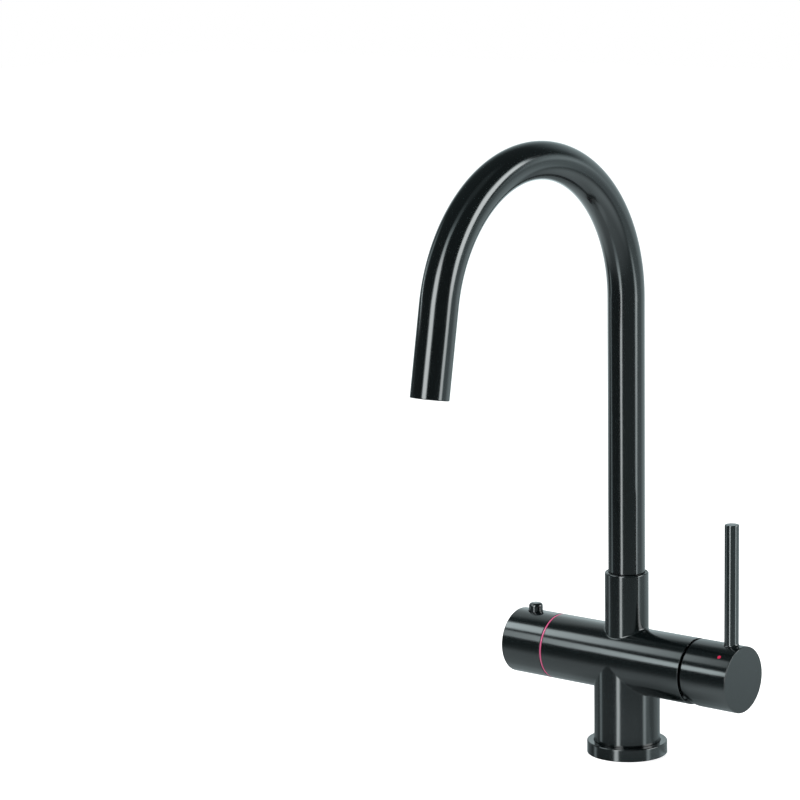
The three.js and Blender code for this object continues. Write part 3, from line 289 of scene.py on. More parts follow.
def turned(corners, axis, angles=FULL_TURN, closed=True):
    """The patches of an outline turned about an axis. Walls are brushed lengthwise, end faces in circles."""
    mostly = 0.75
    least_girth = 0.5
    radial = axis.radial(angles)
    patches = []
    for points, normals in outline_runs(corners, closed):
        girth = max(points[:, 0].mean(), least_girth)
        radii = points[:, 0, None, None]
        stations = points[:, 1, None, None]
        grid = axis.place + axis.along * stations + radial * radii
        facing = axis.along * normals[:, 1, None, None] + radial * normals[:, 0, None, None]
        if abs(normals[:, 1]).mean() > mostly:
            across = points[:, 0, None]
            along = angles[None, :] * girth
        else:
            across = angles[None, :] * girth
            along = points[:, 1, None]
        patches.append(patch(grid, facing, across, along))
    return patches


def build(name, body, patches, slot, node, material=None):
    """One closed mesh from patches that meet edge to edge, riding on its body and standing for its node.

    Without a material of its own, it takes its slot's."""
    weld = 1e-5  # points nearer than this are one
    all_points = np.concatenate([p.reshape(-1, 3) for p, _, _ in patches])
    all_normals = unit(np.concatenate([n.reshape(-1, 3) for _, n, _ in patches]))
    all_brush = np.concatenate([b.reshape(-1, 2) for _, _, b in patches]) * MM
    keys = np.round(all_points / weld).astype(np.int64)
    _, first, shared = np.unique(keys, axis=0, return_index=True, return_inverse=True)
    shared = shared.reshape(-1)
    vertices = all_points[first] * MM

    faces, corners = [], []
    offset = 0
    for points, _, _ in patches:
        rows, columns = points.shape[:2]
        index = np.arange(rows * columns).reshape(rows, columns) + offset
        offset += rows * columns
        quads = np.stack([index[:-1, :-1], index[1:, :-1], index[1:, 1:], index[:-1, 1:]], -1)
        for quad in quads.reshape(-1, 4):
            kept = [c for i, c in enumerate(quad) if shared[c] != shared[quad[i - 1]]]
            if len(kept) < 3 or len({shared[c] for c in kept}) < 3:
                continue
            spots = all_points[kept]
            facing = np.cross(spots[1] - spots[0], spots[2] - spots[0])
            if len(kept) == 4:
                facing = np.cross(spots[2] - spots[0], spots[3] - spots[1])
            if facing @ all_normals[kept].sum(0) < 0:
                kept.reverse()
            faces.append([int(shared[c]) for c in kept])
            corners.extend(int(c) for c in kept)

    mesh = bpy.data.meshes.new(name)
    mesh.from_pydata(vertices.tolist(), [], faces)
    layer = mesh.uv_layers.new(name="brush")
    layer.data.foreach_set("uv", all_brush[corners].astype(np.float32).ravel())
    mesh.polygons.foreach_set("use_smooth", [True] * len(mesh.polygons))
    mesh.normals_split_custom_set(all_normals[corners].tolist())
    mesh.materials.append(material or MATERIAL_OF_SLOT[slot])
    mesh.update()
    piece = bpy.data.objects.new(name, mesh)
    link(piece)
    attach(piece, body)
    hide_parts(node)


# --- The bar's skin and what rises from it ---


class Opening:
    """Where an upright round wall of some radius meets the bar, above (side 1) or below (side -1).

    bend is 1 for the hollow fillet at the foot of a neck, and -1 for the rounded edge of a hole."""

    def __init__(self, x, radius, rounding, side, bend):
        self.x = x
        self.radius = radius
        self.rounding = rounding
        self.side = side
        self.bend = bend
        self.ball = radius + rounding  # radius of the ring that the rounding's centre follows
        self.reach = self.ball / (BAR_RADIUS + bend * rounding)

    def row_angles(self):
        """Angles about the bar, from the crest, of the rows that end on this opening."""
        turns = np.linspace(-math.pi / 2, math.pi / 2, 2 * QUARTER + 1)
        angles = np.arcsin(np.clip(self.reach * np.sin(turns), -1, 1))
        return angles if self.side > 0 else math.pi + angles

    def half_width(self, angles):
        """Half the opening's width at each row angle."""
        from_middle = angles if self.side > 0 else angles - math.pi
        inside = np.cos(from_middle) > 0
        share = np.sin(from_middle) / self.reach
        width = self.ball * np.sqrt(np.clip(1 - share ** 2, 0, 1))
        return np.where(inside & (abs(share) <= 1 + 1e-9), width, 0.0)

    def rim(self):
        """(patch of the rounding, heights at which the upright wall starts)."""
        out = self.ball * FLAT_ROUND[:, 1]
        swell = BAR_RADIUS + self.bend * self.rounding
        rise = np.sqrt(np.clip(swell ** 2 - out ** 2, 0, None))
        ring = self.x + self.ball * FLAT_ROUND[:, 0]
        centre = np.stack([ring, out, BAR_HEIGHT + self.side * rise], -1)
        start = unit(np.stack([0 * out, out, self.side * rise], -1))
        end = self.bend * FLAT_ROUND
        opening = np.arccos(np.clip((start * end).sum(-1), -1, 1))
        steps = 8
        rows = []
        for share in np.linspace(0, 1, steps + 1)[:, None]:
            bowed = start * np.sin((1 - share) * opening)[:, None] + end * np.sin(share * opening)[:, None]
            plain = start * (1 - share) + end * share
            rows.append(unit(np.where(np.sin(opening)[:, None] > TINY, bowed, plain)))
        normals = np.stack(rows)
        points = centre - self.bend * self.rounding * normals
        return patch(points, normals, self.radius * FULL_TURN, points[..., 2]), centre[:, 2]

    def upright(self, to):
        """The rounding and the upright wall from it to one height. A hole's wall faces its own axis."""
        rounding, heights = self.rim()
        foot = FLAT_ROUND * self.radius + np.array([self.x, 0, 0])
        foot[:, 2] = heights
        head = foot.copy()
        head[:, 2] = to
        points = np.stack([foot, head])
        wall = patch(points, self.bend * FLAT_ROUND, self.radius * FULL_TURN, points[..., 2])
        return [rounding, wall]

    def closed_off(self, floor):
        """The rounding and the wall, with a flat floor across the wall's end."""
        spots = [(self.radius, floor), (0, floor)]
        return self.upright(floor) + turned(spots[::self.side], upright_axis(self.x), closed=False)


def row_angles(above, below):
    """Angles about the bar for one whole turn, with a row at every step of the two openings."""
    step = 2 * math.pi / AROUND
    upper = above.row_angles()
    lower = below.row_angles()
    angles = [upper]
    between = ((upper[-1], lower[0], lower[1:]), (lower[-1], upper[0] + 2 * math.pi, []))
    for start, end, following in between:
        count = max(2, math.ceil((end - start) / step))
        angles += [np.linspace(start, end, count + 1)[1:], following]
    return np.concatenate(angles)


def bar_radii(angles, stations, relief_from=None):
    """(radius, slope along the bar, slope round it) of the bar's skin.

    The mixer hub's lower rim is relieved from the station relief_from on."""
    shape = np.broadcast_shapes(angles.shape, stations.shape)
    radius = np.full(shape, BAR_RADIUS)
    nothing = np.zeros(shape)
    if relief_from is None:
        return radius, nothing, nothing
    run = np.clip(RELIEF_LENGTH - (stations - relief_from), 0, None)
    chord = np.sqrt(RELIEF_ARC ** 2 - run ** 2)
    depth = RELIEF_ARC - chord
    below = np.clip(-np.cos(angles), 0, None)
    fade = 1.5  # how fast the relief fades towards the hub's sides
    share = below ** fade
    turn = fade * np.sqrt(below) * np.sin(angles)
    return radius - depth * share, run / chord * share, -depth * turn


def skin_points(angles, stations, relief_from=None):
    """(points, normals) of the bar's skin at angles and stations along x, which broadcast together."""
    radius, slope_along, slope_round = bar_radii(angles, stations, relief_from)
    outward = BAR_AXIS.radial(np.broadcast_to(angles, radius.shape))
    onward = BAR_AXIS.radial(np.broadcast_to(angles, radius.shape) + math.pi / 2)
    station = np.broadcast_to(stations, radius.shape)[..., None]
    points = BAR_AXIS.place + BAR_AXIS.along * station + outward * radius[..., None]
    normals = outward - onward * (slope_round / radius)[..., None] - BAR_AXIS.along * slope_along[..., None]
    return points, unit(normals)


def bar_skin(left, right, openings, angles, relief_from=None):
    """The bar's outside between two stations, with its openings, which are above each other, left out."""
    relieved = np.linspace(0, 1, 9)
    straight = np.linspace(0, 1, 5)
    gaps = np.zeros(len(angles))
    centre = openings[0].x
    for opening in openings:
        gaps = np.maximum(gaps, opening.half_width((angles + math.pi / 2) % (2 * math.pi) - math.pi / 2))
    patches = []
    for start, end in ((left, centre - gaps), (centre + gaps, right)):
        start = np.broadcast_to(np.asarray(start, float), angles.shape)
        end = np.broadcast_to(np.asarray(end, float), angles.shape)
        if relief_from is not None and start[0] < relief_from + RELIEF_LENGTH:
            turn = np.full(angles.shape, relief_from + RELIEF_LENGTH)
            steps = [start + (turn - start) * share for share in relieved]
            steps += [turn + (end - turn) * share for share in (0.5, 1)]
        else:
            steps = [start + (end - start) * share for share in straight]
        stations = np.stack(steps)
        points, normals = skin_points(angles[None, :], stations, relief_from)
        patches.append(patch(points, normals, BAR_RADIUS * angles[None, :], stations))
    return patches


def bar_end(end, direction, rounding, inner, angles, relief_from=None):
    """The rounded edge at an end of the bar, and the flat face inside it, which is brushed in circles."""
    start = np.full(angles.shape, end - direction * rounding)
    _, normals = skin_points(angles, start, relief_from)
    radius, _, _ = bar_radii(angles, start, relief_from)
    around = BAR_AXIS.radial(angles)
    outward = BAR_AXIS.along * direction
    steps = 6
    rows, facings = [], []
    for share in np.linspace(0, 1, steps + 1):
        bend = share * math.pi / 2
        reach = (radius - rounding + rounding * math.cos(bend))[:, None]
        station = end - direction * rounding * (1 - math.sin(bend))
        rows.append(BAR_AXIS.place + BAR_AXIS.along * station + around * reach)
        facings.append(normals * math.cos(bend) + outward * math.sin(bend))
    edge = np.stack(rows)
    radii = np.stack([radius - rounding, np.full(angles.shape, inner)])
    face = BAR_AXIS.place + BAR_AXIS.along * end + around * radii[..., None]
    middle_radius = BAR_RADIUS * 0.6
    return [
        patch(edge, unit(np.stack(facings)), BAR_RADIUS * angles, edge[..., 0]),
        patch(face, outward, radii, middle_radius * angles),
    ]


# --- Materials ---


class Nodes:
    """A short hand for building the nodes of a material or a world."""

    NOISE_RANGE = (0.3, 0.7)  # most of a noise lies in it

    def __init__(self, name, owners="materials"):
        self.owner = getattr(bpy.data, owners).new(name)
        self.owner.use_nodes = True
        self.tree = self.owner.node_tree
        self.tree.nodes.clear()
        self.output = self.add("OutputWorld" if owners == "worlds" else "OutputMaterial")

    def add(self, kind, settings=None, **inputs):
        node = self.tree.nodes.new("ShaderNode" + kind)
        for key, value in (settings or {}).items():
            setattr(node, key, value)
        for key, value in inputs.items():
            self.put(node.inputs[key.replace("_", " ")], value)
        return node

    def put(self, socket, value):
        if isinstance(value, bpy.types.NodeSocket):
            self.tree.links.new(value, socket)
        elif socket.type == "RGBA":
            socket.default_value = (*value, 1)
        else:
            socket.default_value = value

    def end(self, shader):
        """Gives the output its shader, and returns the material or world."""
        self.put(self.output.inputs[0], shader.outputs[0])
        return self.owner

    def both(self, first, second):
        """The sum of two shaders."""
        node = self.add("AddShader")
        self.put(node.inputs[0], first.outputs[0])
        self.put(node.inputs[1], second.outputs[0])
        return node

    def math(self, operation, first, second=0.0):
        node = self.add("Math", {"operation": operation})
        for socket, value in zip(node.inputs, (first, second)):
            self.put(socket, value)
        return node.outputs[0]

    def less(self, first, second):
        return self.math("SUBTRACT", first, second)

    def product(self, result, *factors):
        for factor in factors:
            result = self.math("MULTIPLY", result, factor)
        return result

    def total(self, result, *terms):
        for term in terms:
            result = self.math("ADD", result, term)
        return result

    def ramp(self, value, from_low, from_high, to_low, to_high, smooth=True):
        kind = "SMOOTHSTEP" if smooth else "LINEAR"
        node = self.add("MapRange", {"interpolation_type": kind, "clamp": True})
        for socket, number in zip(node.inputs, (value, from_low, from_high, to_low, to_high)):
            self.put(socket, number)
        return node.outputs[0]

    def between(self, value, start, end, soft):
        """1 where value is between start and end, with soft edges. An end of None is no edge."""
        rise = self.ramp(value, start - soft, start + soft, 0, 1)
        fall = 1.0 if end is None else self.ramp(value, end - soft, end + soft, 1, 0)
        return self.product(rise, fall)

    def blend(self, share, first, second):
        node = self.add("Mix", {"data_type": "RGBA"})
        for name, value in (("Factor", share), ("A", first), ("B", second)):
            self.put(node.inputs[name], value)
        return node.outputs["Result"]

    def noise(self, vector, scale, detail, roughness):
        """Noise with so many octaves of detail, each weaker by the roughness."""
        node = self.add("TexNoise", Vector=vector, Scale=scale, Detail=detail, Roughness=roughness)
        return node.outputs["Fac"]

    def stretched(self, across, along):
        """The brushing's own coordinates, scaled so that one unit of noise is across by along metres."""
        brush = self.add("UVMap", {"uv_map": "brush"}).outputs[0]
        mapping = self.add("Mapping", Vector=brush)
        mapping.inputs["Scale"].default_value = (1 / across, 1 / along, 1)
        return mapping.outputs[0]

    def place(self):
        return self.add("TexCoord").outputs["Object"]

    def bump(self, height, distance, normal=None):
        node = self.add("Bump", Height=height, Distance=distance)
        if normal is not None:
            self.put(node.inputs["Normal"], normal)
        return node.outputs[0]

    def clouded(self, clouds, dark, light):
        """A colour that drifts from dark to light with a noise."""
        return self.blend(self.ramp(clouds, *self.NOISE_RANGE, 0, 1), dark, light)

    def surface(self, grain, least_rough, most_rough, **inputs):
        """A surface whose roughness varies with a noise between two values."""
        rough = self.ramp(grain, *self.NOISE_RANGE, least_rough, most_rough)
        return self.end(self.add("BsdfPrincipled", Roughness=rough, **inputs))


def gun_metal(name, roughness, brush_depth, dark, light, ior=1.82):
    """A glossy dark coating over metal that was brushed lengthwise, with a faint haze of its own colour."""
    n = Nodes(name)
    hairs = n.noise(n.stretched(across=0.00028, along=0.022), 1, 3, 0.6)
    strands = n.noise(n.stretched(across=0.0011, along=0.09), 1, 2, 0.5)
    swells = n.noise(n.stretched(across=0.006, along=0.016), 1, 1, 0.5)
    clouds = n.noise(n.place(), 55, 3, 0.55)
    fine = n.bump(hairs, brush_depth)
    broad = n.bump(strands, brush_depth * 2.2, fine)
    wavy = n.bump(swells, brush_depth * 8, broad)
    tone = n.total(n.product(strands, 0.5), n.product(clouds, 0.5))
    colour = n.clouded(tone, dark, light)
    return n.surface(hairs, roughness * 0.85, roughness * 1.2, Base_Color=colour, IOR=ior, Normal=wavy)


def bright_metal(name, dark, light, roughness):
    """Machined or drawn metal with faint clouding."""
    n = Nodes(name)
    clouds = n.noise(n.place(), 70, 3, 0.6)
    grain = n.noise(n.place(), 2080, 2, 0.5)
    look = {"Base_Color": n.clouded(clouds, dark, light), "Metallic": 1.0, "Normal": n.bump(grain, 1e-5)}
    return n.surface(grain, roughness * 0.8, roughness * 1.25, **look)


def moulded(name, dark, light, roughness, depth=2e-5):
    """Rubber, plastic or ceramic with a fine moulded grain."""
    n = Nodes(name)
    clouds = n.noise(n.place(), 90, 3, 0.6)
    grain = n.noise(n.place(), 3000, 2, 0.5)
    look = {"Base_Color": n.clouded(clouds, dark, light), "Normal": n.bump(grain, depth)}
    return n.surface(grain, roughness * 0.85, roughness * 1.2, **look)


def ring_red():
    """The indicator ring: translucent pink-red, with painted shade that darkens it towards its two sides."""
    n = Nodes("signal_red_ring")
    along = n.add("SeparateXYZ", Vector=n.place()).outputs[0]
    middle_x = (RING_LEFT + RING_RIGHT) / 2 * MM
    half = (RING_RIGHT - RING_LEFT) / 2 * MM
    off = n.math("ABSOLUTE", n.less(along, middle_x))
    # Painted shade: the dark red at both sides stands for the shading of the ring's rounded edges and the
    # grooves beside it.
    side = n.ramp(off, half * 0.6, half * 1.05, 0, 1)
    pink = n.blend(n.noise(n.place(), 400, 2, 0.5), (0.80, 0.125, 0.30), (0.72, 0.10, 0.26))
    colour = n.blend(side, pink, (0.35, 0.008, 0.05))
    grain = n.noise(n.place(), 2600, 2, 0.5)
    return n.surface(grain, 0.18, 0.28, Base_Color=colour, IOR=1.7, Normal=n.bump(grain, 4e-6))


# Painted highlight: the lever's base colours are lighter than the body's, for the highlights that blur across
# the thin rod.
LEVER_HIGHLIT_COLOURS = ((0.005, 0.0085, 0.009), (0.008, 0.012, 0.0125))
PIPE_METAL = gun_metal("gunmetal_drawn", 0.13, 2.2e-6, (0.0012, 0.0022, 0.0024), (0.002, 0.0036, 0.0038))
GUN_METAL = gun_metal("gunmetal_brushed", 0.14, 3.5e-6, (0.0018, 0.0034, 0.0036), (0.003, 0.0052, 0.0055))
LEVER_METAL = gun_metal("gunmetal_lever_highlit", 0.13, 2.5e-6, *LEVER_HIGHLIT_COLOURS, ior=2.15)
DOME_METAL = moulded("gunmetal_matte", (0.006, 0.008, 0.0085), (0.010, 0.013, 0.0135), 0.5)
RING_RED = ring_red()
STEEL = bright_metal("steel_bright", (0.38, 0.40, 0.41), (0.46, 0.48, 0.49), 0.25)
# Painted shade: a darkened brass for the cartridge nut, which shows in the shaded gap behind the mixer hub.
GAP_SHADE_BRASS = bright_metal("brass_painted_gap_shade", (0.012, 0.012, 0.012), (0.022, 0.021, 0.020), 0.4)
DARK_PLASTIC = moulded("plastic_dark", (0.016, 0.018, 0.020), (0.028, 0.031, 0.034), 0.45)
GLOSSY_PLASTIC = moulded("plastic_glossy", (0.010, 0.012, 0.013), (0.016, 0.019, 0.020), 0.16, 3e-6)

MATERIAL_OF_SLOT = {
    "gunmetal": GUN_METAL,
    "signal_red": moulded("signal_red_gloss", (0.52, 0.012, 0.055), (0.66, 0.03, 0.10), 0.25, 5e-6),
    "signal_blue": moulded("signal_blue_gloss", (0.012, 0.10, 0.50), (0.03, 0.15, 0.62), 0.25, 5e-6),
    "brass": bright_metal("brass_machined", (0.42, 0.26, 0.07), (0.50, 0.33, 0.10), 0.3),
    "copper": bright_metal("copper_drawn", (0.48, 0.17, 0.08), (0.58, 0.23, 0.11), 0.28),
    "steel": STEEL,
    "rubber": moulded("rubber_matte", (0.012, 0.012, 0.013), (0.022, 0.022, 0.024), 0.6),
    "ceramic": moulded("ceramic_polished", (0.72, 0.69, 0.63), (0.80, 0.77, 0.71), 0.2, 3e-6),
    "engineering_plastic": moulded("plastic_natural", (0.58, 0.55, 0.47), (0.67, 0.64, 0.56), 0.45),
    "dark_plastic": DARK_PLASTIC,
}

# Painted shade: these show in the gap behind the mixer hub, and get darker materials than their slots' so
# that the gap looks shaded.
GAP_SHADE_MATERIAL = {
    "cartridge_nut": GAP_SHADE_BRASS,
    "cartridge_housing": DARK_PLASTIC,
}


def dress_cad_nodes():
    """Every carried-over CAD node gets the procedural material of its slot, except those in the gap behind
    the mixer hub, which get darker ones as painted shade.
    """
    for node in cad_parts.values():
        mesh = node.data
        for i, given in enumerate(mesh.materials):
            slot = given.name.split(".")[0] if given else "steel"
            mesh.materials[i] = GAP_SHADE_MATERIAL.get(node.name, MATERIAL_OF_SLOT.get(slot, STEEL))


# --- Pieces ---


def add_flange():
    inner_land = 0.2  # between the worktop and the metal inside the gasket
    groove_gap = 0.3  # round the gasket
    groove_outer = GASKET_OUTER + groove_gap
    groove_inner = GASKET_INNER - groove_gap
    groove_top = GASKET_TOP + groove_gap
    outline = [
        (FLANGE_BORE, inner_land, INNER_EDGE), (groove_inner, inner_land, INNER_EDGE),
        (groove_inner, groove_top), (groove_outer, groove_top), (groove_outer, 0, INNER_EDGE),
        (FLANGE_RADIUS, 0, HAIRLINE), (FLANGE_RADIUS, FLANGE_HEIGHT, FLANGE_EDGE),
        (FLANGE_SEAT, FLANGE_HEIGHT, HAIRLINE), (FLANGE_SEAT, FLANGE_SEAT_FLOOR),
        (FLANGE_BORE, FLANGE_SEAT_FLOOR, INNER_EDGE),
    ]
    build("base_flange_ring", "root", turned(outline, upright_axis()), "gunmetal", "base_flange")
    gasket = [
        (GASKET_INNER, 0, HAIRLINE), (GASKET_OUTER, 0, HAIRLINE), (GASKET_OUTER, GASKET_TOP, HAIRLINE),
        (GASKET_INNER, GASKET_TOP, HAIRLINE),
    ]
    build("gasket_ring", "root", turned(gasket, upright_axis()), "rubber", "deck_gasket")


def add_body():
    neck = Opening(0, NECK_RADIUS, NECK_FILLET, 1, 1)
    column = Opening(0, BAR_RADIUS, COLUMN_FILLET, -1, 1)
    angles = row_angles(neck, column)
    patches = bar_skin(BODY_LEFT + HAIRLINE, BODY_RIGHT - HAIRLINE, [neck, column], angles)

    # The neck, up to its rim and down its bore
    patches += neck.upright(NECK_COLLAR)
    outline = [
        (NECK_RADIUS, NECK_COLLAR), (NECK_RADIUS, NECK_TOP, NECK_EDGE), (NECK_BORE, NECK_TOP, INNER_EDGE),
        (NECK_BORE, NECK_FLOOR), (TUBE_SOCKET, NECK_FLOOR), (TUBE_SOCKET, TUBE_SOCKET_FLOOR),
        (0, TUBE_SOCKET_FLOOR),
    ]
    patches += turned(outline, upright_axis(), closed=False)

    # The column, down to its foot and up its bore
    patches += column.upright(COLUMN_COLLAR)
    outline = [
        (0, COLUMN_BORE_TOP), (COLUMN_BORE, COLUMN_BORE_TOP), (COLUMN_BORE, COLUMN_FOOT),
        (BAR_RADIUS, COLUMN_FOOT, HAIRLINE), (BAR_RADIUS, COLUMN_COLLAR),
    ]
    patches += turned(outline, upright_axis(), closed=False)

    # The left end: a spigot inside the knob, with the headwork's chamber
    patches += bar_end(BODY_LEFT, -1, HAIRLINE, SPIGOT_RADIUS, angles)
    outline = [
        (SPIGOT_RADIUS, BODY_LEFT), (SPIGOT_RADIUS, SPIGOT_END, HAIRLINE),
        (HEADWORK_CHAMBER, SPIGOT_END, INNER_EDGE), (HEADWORK_CHAMBER, HEADWORK_CHAMBER_END),
        (0, HEADWORK_CHAMBER_END),
    ]
    patches += turned(outline, BAR_AXIS, angles, closed=False)

    # The right end: the mixer cartridge's chamber
    first = MIXER_CHAMBER[0][0]
    patches += bar_end(BODY_RIGHT, 1, HAIRLINE, first, angles)
    outline = [(first, BODY_RIGHT)]
    narrower = [radius for radius, _ in MIXER_CHAMBER[1:]] + [0]
    for (radius, floor), following in zip(MIXER_CHAMBER, narrower):
        outline += [(radius, floor), (following, floor)]
    patches += turned(outline, BAR_AXIS, angles, closed=False)
    build("body_shell", "root", patches, "gunmetal", "body_casting")


def add_hub():
    lever = Opening(LEVER_X, LEVER_RADIUS - LEVER_OVERLAP, LEVER_FILLET, 1, 1)
    screw = Opening(LEVER_X, SCREW_HOLE, SCREW_HOLE_EDGE, -1, -1)
    angles = row_angles(lever, screw)
    patches = bar_skin(HUB_RIM + HAIRLINE, HUB_END - HUB_EDGE, [lever, screw], angles, HUB_RIM)
    patches += lever.closed_off(LEVER_SHOULDER)
    patches += screw.closed_off(SCREW_CEILING)
    patches += bar_end(HUB_RIM, -1, HAIRLINE, HUB_BORE, angles, HUB_RIM)
    outline = [
        (0, STEM_SOCKET_END), (STEM_SOCKET, STEM_SOCKET_END), (STEM_SOCKET, HUB_FLOOR),
        (HUB_BORE, HUB_FLOOR), (HUB_BORE, HUB_RIM),
    ]
    patches += turned(outline, BAR_AXIS, angles, closed=False)
    patches += bar_end(HUB_END, 1, HUB_EDGE, 0, angles)
    build("mixer_hub_shell", "mixer_tilt", patches, "gunmetal", "mixer_hub")


def add_lever():
    outline = [
        (0, LEVER_FOOT), (LEVER_RADIUS, LEVER_FOOT, HAIRLINE), (LEVER_RADIUS, LEVER_TOP, LEVER_EDGE),
        (0, LEVER_TOP),
    ]
    patches = turned(outline, upright_axis(LEVER_X), closed=False)
    build("mixer_lever_rod", "mixer_tilt", patches, "gunmetal", "mixer_lever", LEVER_METAL)


def add_dot(name, node, side, slot):
    """An index dot let into the hub, a little proud of it. side is -1 at the front and 1 at the back."""
    outward = np.array([0, side * math.sin(DOT_ANGLE), math.cos(DOT_ANGLE)])
    axis = Axis((LEVER_X, 0, BAR_HEIGHT), outward, (1, 0, 0))
    top = BAR_RADIUS + DOT_PROUD
    bottom = BAR_RADIUS - DOT_DEPTH
    foot_edge = 0.1
    top_edge = 0.15
    outline = [
        (0, bottom), (DOT_RADIUS, bottom, foot_edge), (DOT_RADIUS, top, top_edge), (0, top),
    ]
    build(name, "mixer_tilt", turned(outline, axis, closed=False), slot, node)


def add_set_screw(name, node, body, x):
    """A set screw with a hexagon socket, seen from below."""
    bottom = low(node, "z")
    top = high(node, "z")
    radius = high(node, "y")
    point_radius = 1.2
    point_height = 0.8
    edge = 0.25
    flat = 0.95  # from the axis to a flat of the socket
    socket_depth = 1.6
    steps = 8  # along each of the socket's six flats
    turns = np.linspace(0, 2 * math.pi, 6 * steps + 1)
    outline = [
        (radius, bottom + edge), (radius, top - point_height), (point_radius, top), (0, top),
    ]
    patches = turned(outline, upright_axis(x), turns, closed=False)
    lower = np.array([x, 0, bottom])
    upper = np.array([x, 0, bottom + socket_depth])
    rounded = np.array([x, 0, bottom + edge])
    down = np.array([0, 0, -1.0])
    tilt = 0.2
    side = math.pi / 3
    for i in range(6):
        angles = turns[i * steps:(i + 1) * steps + 1]
        facing = (i + 0.5) * side
        around = np.stack([np.cos(angles), np.sin(angles), 0 * angles], -1)
        hexagon = around * (flat / np.cos(angles - facing))[:, None]
        rim = np.stack([rounded + around * radius, lower + around * (radius - edge), lower + hexagon])
        slanted = np.stack([unit(around + tilt * down), unit(tilt * around + down), 0 * around + down])
        wall = np.stack([lower + hexagon, upper + hexagon])
        inward = -np.array([math.cos(facing), math.sin(facing), 0])
        ceiling = np.stack([upper + hexagon, upper + 0 * hexagon])
        patches += [
            patch(rim, slanted, angles, 0),
            patch(wall, inward, angles, np.array([[0], [socket_depth]])),
            patch(ceiling, down, angles, np.array([[0], [1]])),
        ]
    build(name, body, patches, "steel", node)


def add_ring():
    outline = [
        (RING_OUTER, RING_LEFT, RING_EDGE), (RING_OUTER, RING_RIGHT, RING_EDGE),
        (RING_INNER, RING_RIGHT, INNER_EDGE), (RING_INNER, RING_LEFT, INNER_EDGE),
    ]
    patches = turned(outline, BAR_AXIS)
    build("indicator_ring", "root", patches, "signal_red", "boiling_indicator_ring", RING_RED)


def add_knob():
    well = Opening(BUTTON_X, BUTTON_WELL, HAIRLINE, 1, -1)
    screw = Opening(BUTTON_X, SCREW_HOLE, SCREW_HOLE_EDGE, -1, -1)
    angles = row_angles(well, screw)
    patches = bar_skin(KNOB_END + KNOB_EDGE, KNOB_RIM - HAIRLINE, [well, screw], angles)
    patches += well.closed_off(BUTTON_WELL_FLOOR)
    patches += screw.closed_off(SCREW_CEILING)
    patches += bar_end(KNOB_END, -1, KNOB_EDGE, 0, angles)
    patches += bar_end(KNOB_RIM, 1, HAIRLINE, KNOB_RIM_BORE, angles)
    outline = [
        (KNOB_RIM_BORE, KNOB_RIM), (KNOB_RIM_BORE, KNOB_RIM_BORE_END), (KNOB_BORE, KNOB_RIM_BORE_END),
        (KNOB_BORE, KNOB_FLOOR), (SPINDLE_SOCKET, KNOB_FLOOR), (SPINDLE_SOCKET, SPINDLE_SOCKET_END),
        (0, SPINDLE_SOCKET_END),
    ]
    patches += turned(outline, BAR_AXIS, angles, closed=False)
    build("boiling_knob_shell", "boiling_handle", patches, "gunmetal", "boiling_knob")


def add_button():
    stem_end = low("child_lock_button", "z")
    outline = [
        (0, stem_end), (BUTTON_STEM, stem_end, INNER_EDGE), (BUTTON_STEM, BUTTON_FOOT),
        (BUTTON_RADIUS, BUTTON_FOOT, INNER_EDGE), (BUTTON_RADIUS, BUTTON_TOP, BUTTON_EDGE),
        (0, BUTTON_TOP),
    ]
    patches = turned(outline, upright_axis(BUTTON_X), closed=False)
    build("child_lock_peg", "child_lock", patches, "gunmetal", "child_lock_button")


def pipe_stations():
    """(places, outward directions across the bend, lengths) along the spout's centreline."""
    places = [np.array([0, 0, PIPE_FOOT])]
    outward = [np.array([0, 1, 0])]
    steps = 96
    for bend in np.linspace(0, ARCH_ANGLE, steps + 1):
        across = np.array([0, math.cos(bend), math.sin(bend)])
        places.append(np.array([0, -ARCH_RADIUS, ARCH_CENTRE]) + ARCH_RADIUS * across)
        outward.append(across)
    onward = np.array([0, -math.sin(ARCH_ANGLE), math.cos(ARCH_ANGLE)])
    places.append(places[-1] + onward * OUTLET_LENGTH)
    outward.append(outward[-1])
    places = np.array(places)
    strides = np.linalg.norm(np.diff(places, axis=0), axis=1)
    return places, np.array(outward), np.concatenate([[0], np.cumsum(strides)])


PIPE_TURN = np.linspace(0, 2 * math.pi, AROUND + 1)


def swept(places, outward, lengths, radius, facing):
    """A round wall swept along stations. facing is 1 for an outside and -1 for a bore."""
    side = np.array([1.0, 0, 0])
    turn = PIPE_TURN[:, None]
    normals = side * np.sin(turn) + outward[:, None, :] * np.cos(turn)
    points = places[:, None, :] + radius * normals
    return [patch(points, facing * normals, radius * PIPE_TURN, lengths[:, None])]


def outlet_axis():
    """The axis of the spout's outlet, with its place at the tip and its direction back up the pipe."""
    places, outward, _ = pipe_stations()
    onward = unit(places[-1] - places[-2])
    return Axis(places[-1], -onward, outward[-1])


def add_spout():
    places, outward, lengths = pipe_stations()
    axis = outlet_axis()
    lip = 2.0  # length of the pipe's turned end
    shortened = places.copy()
    shortened[-1] = axis.place + axis.along * lip
    patches = swept(shortened, outward, lengths, PIPE_RADIUS, 1)
    patches += swept(shortened, outward, lengths, PIPE_BORE, -1)
    outline = [
        (PIPE_BORE, lip), (PIPE_BORE, 0, HAIRLINE), (PIPE_RADIUS, 0, PIPE_END_EDGE), (PIPE_RADIUS, lip),
    ]
    patches += turned(outline, axis, -PIPE_TURN, closed=False)
    foot = Axis(places[0], (0, 0, 1), (0, 1, 0))
    patches += turned([(PIPE_BORE, 0), (PIPE_RADIUS, 0)], foot, -PIPE_TURN, closed=False)
    build("spout_pipe", "spout", patches, "gunmetal", "spout_tube", PIPE_METAL)


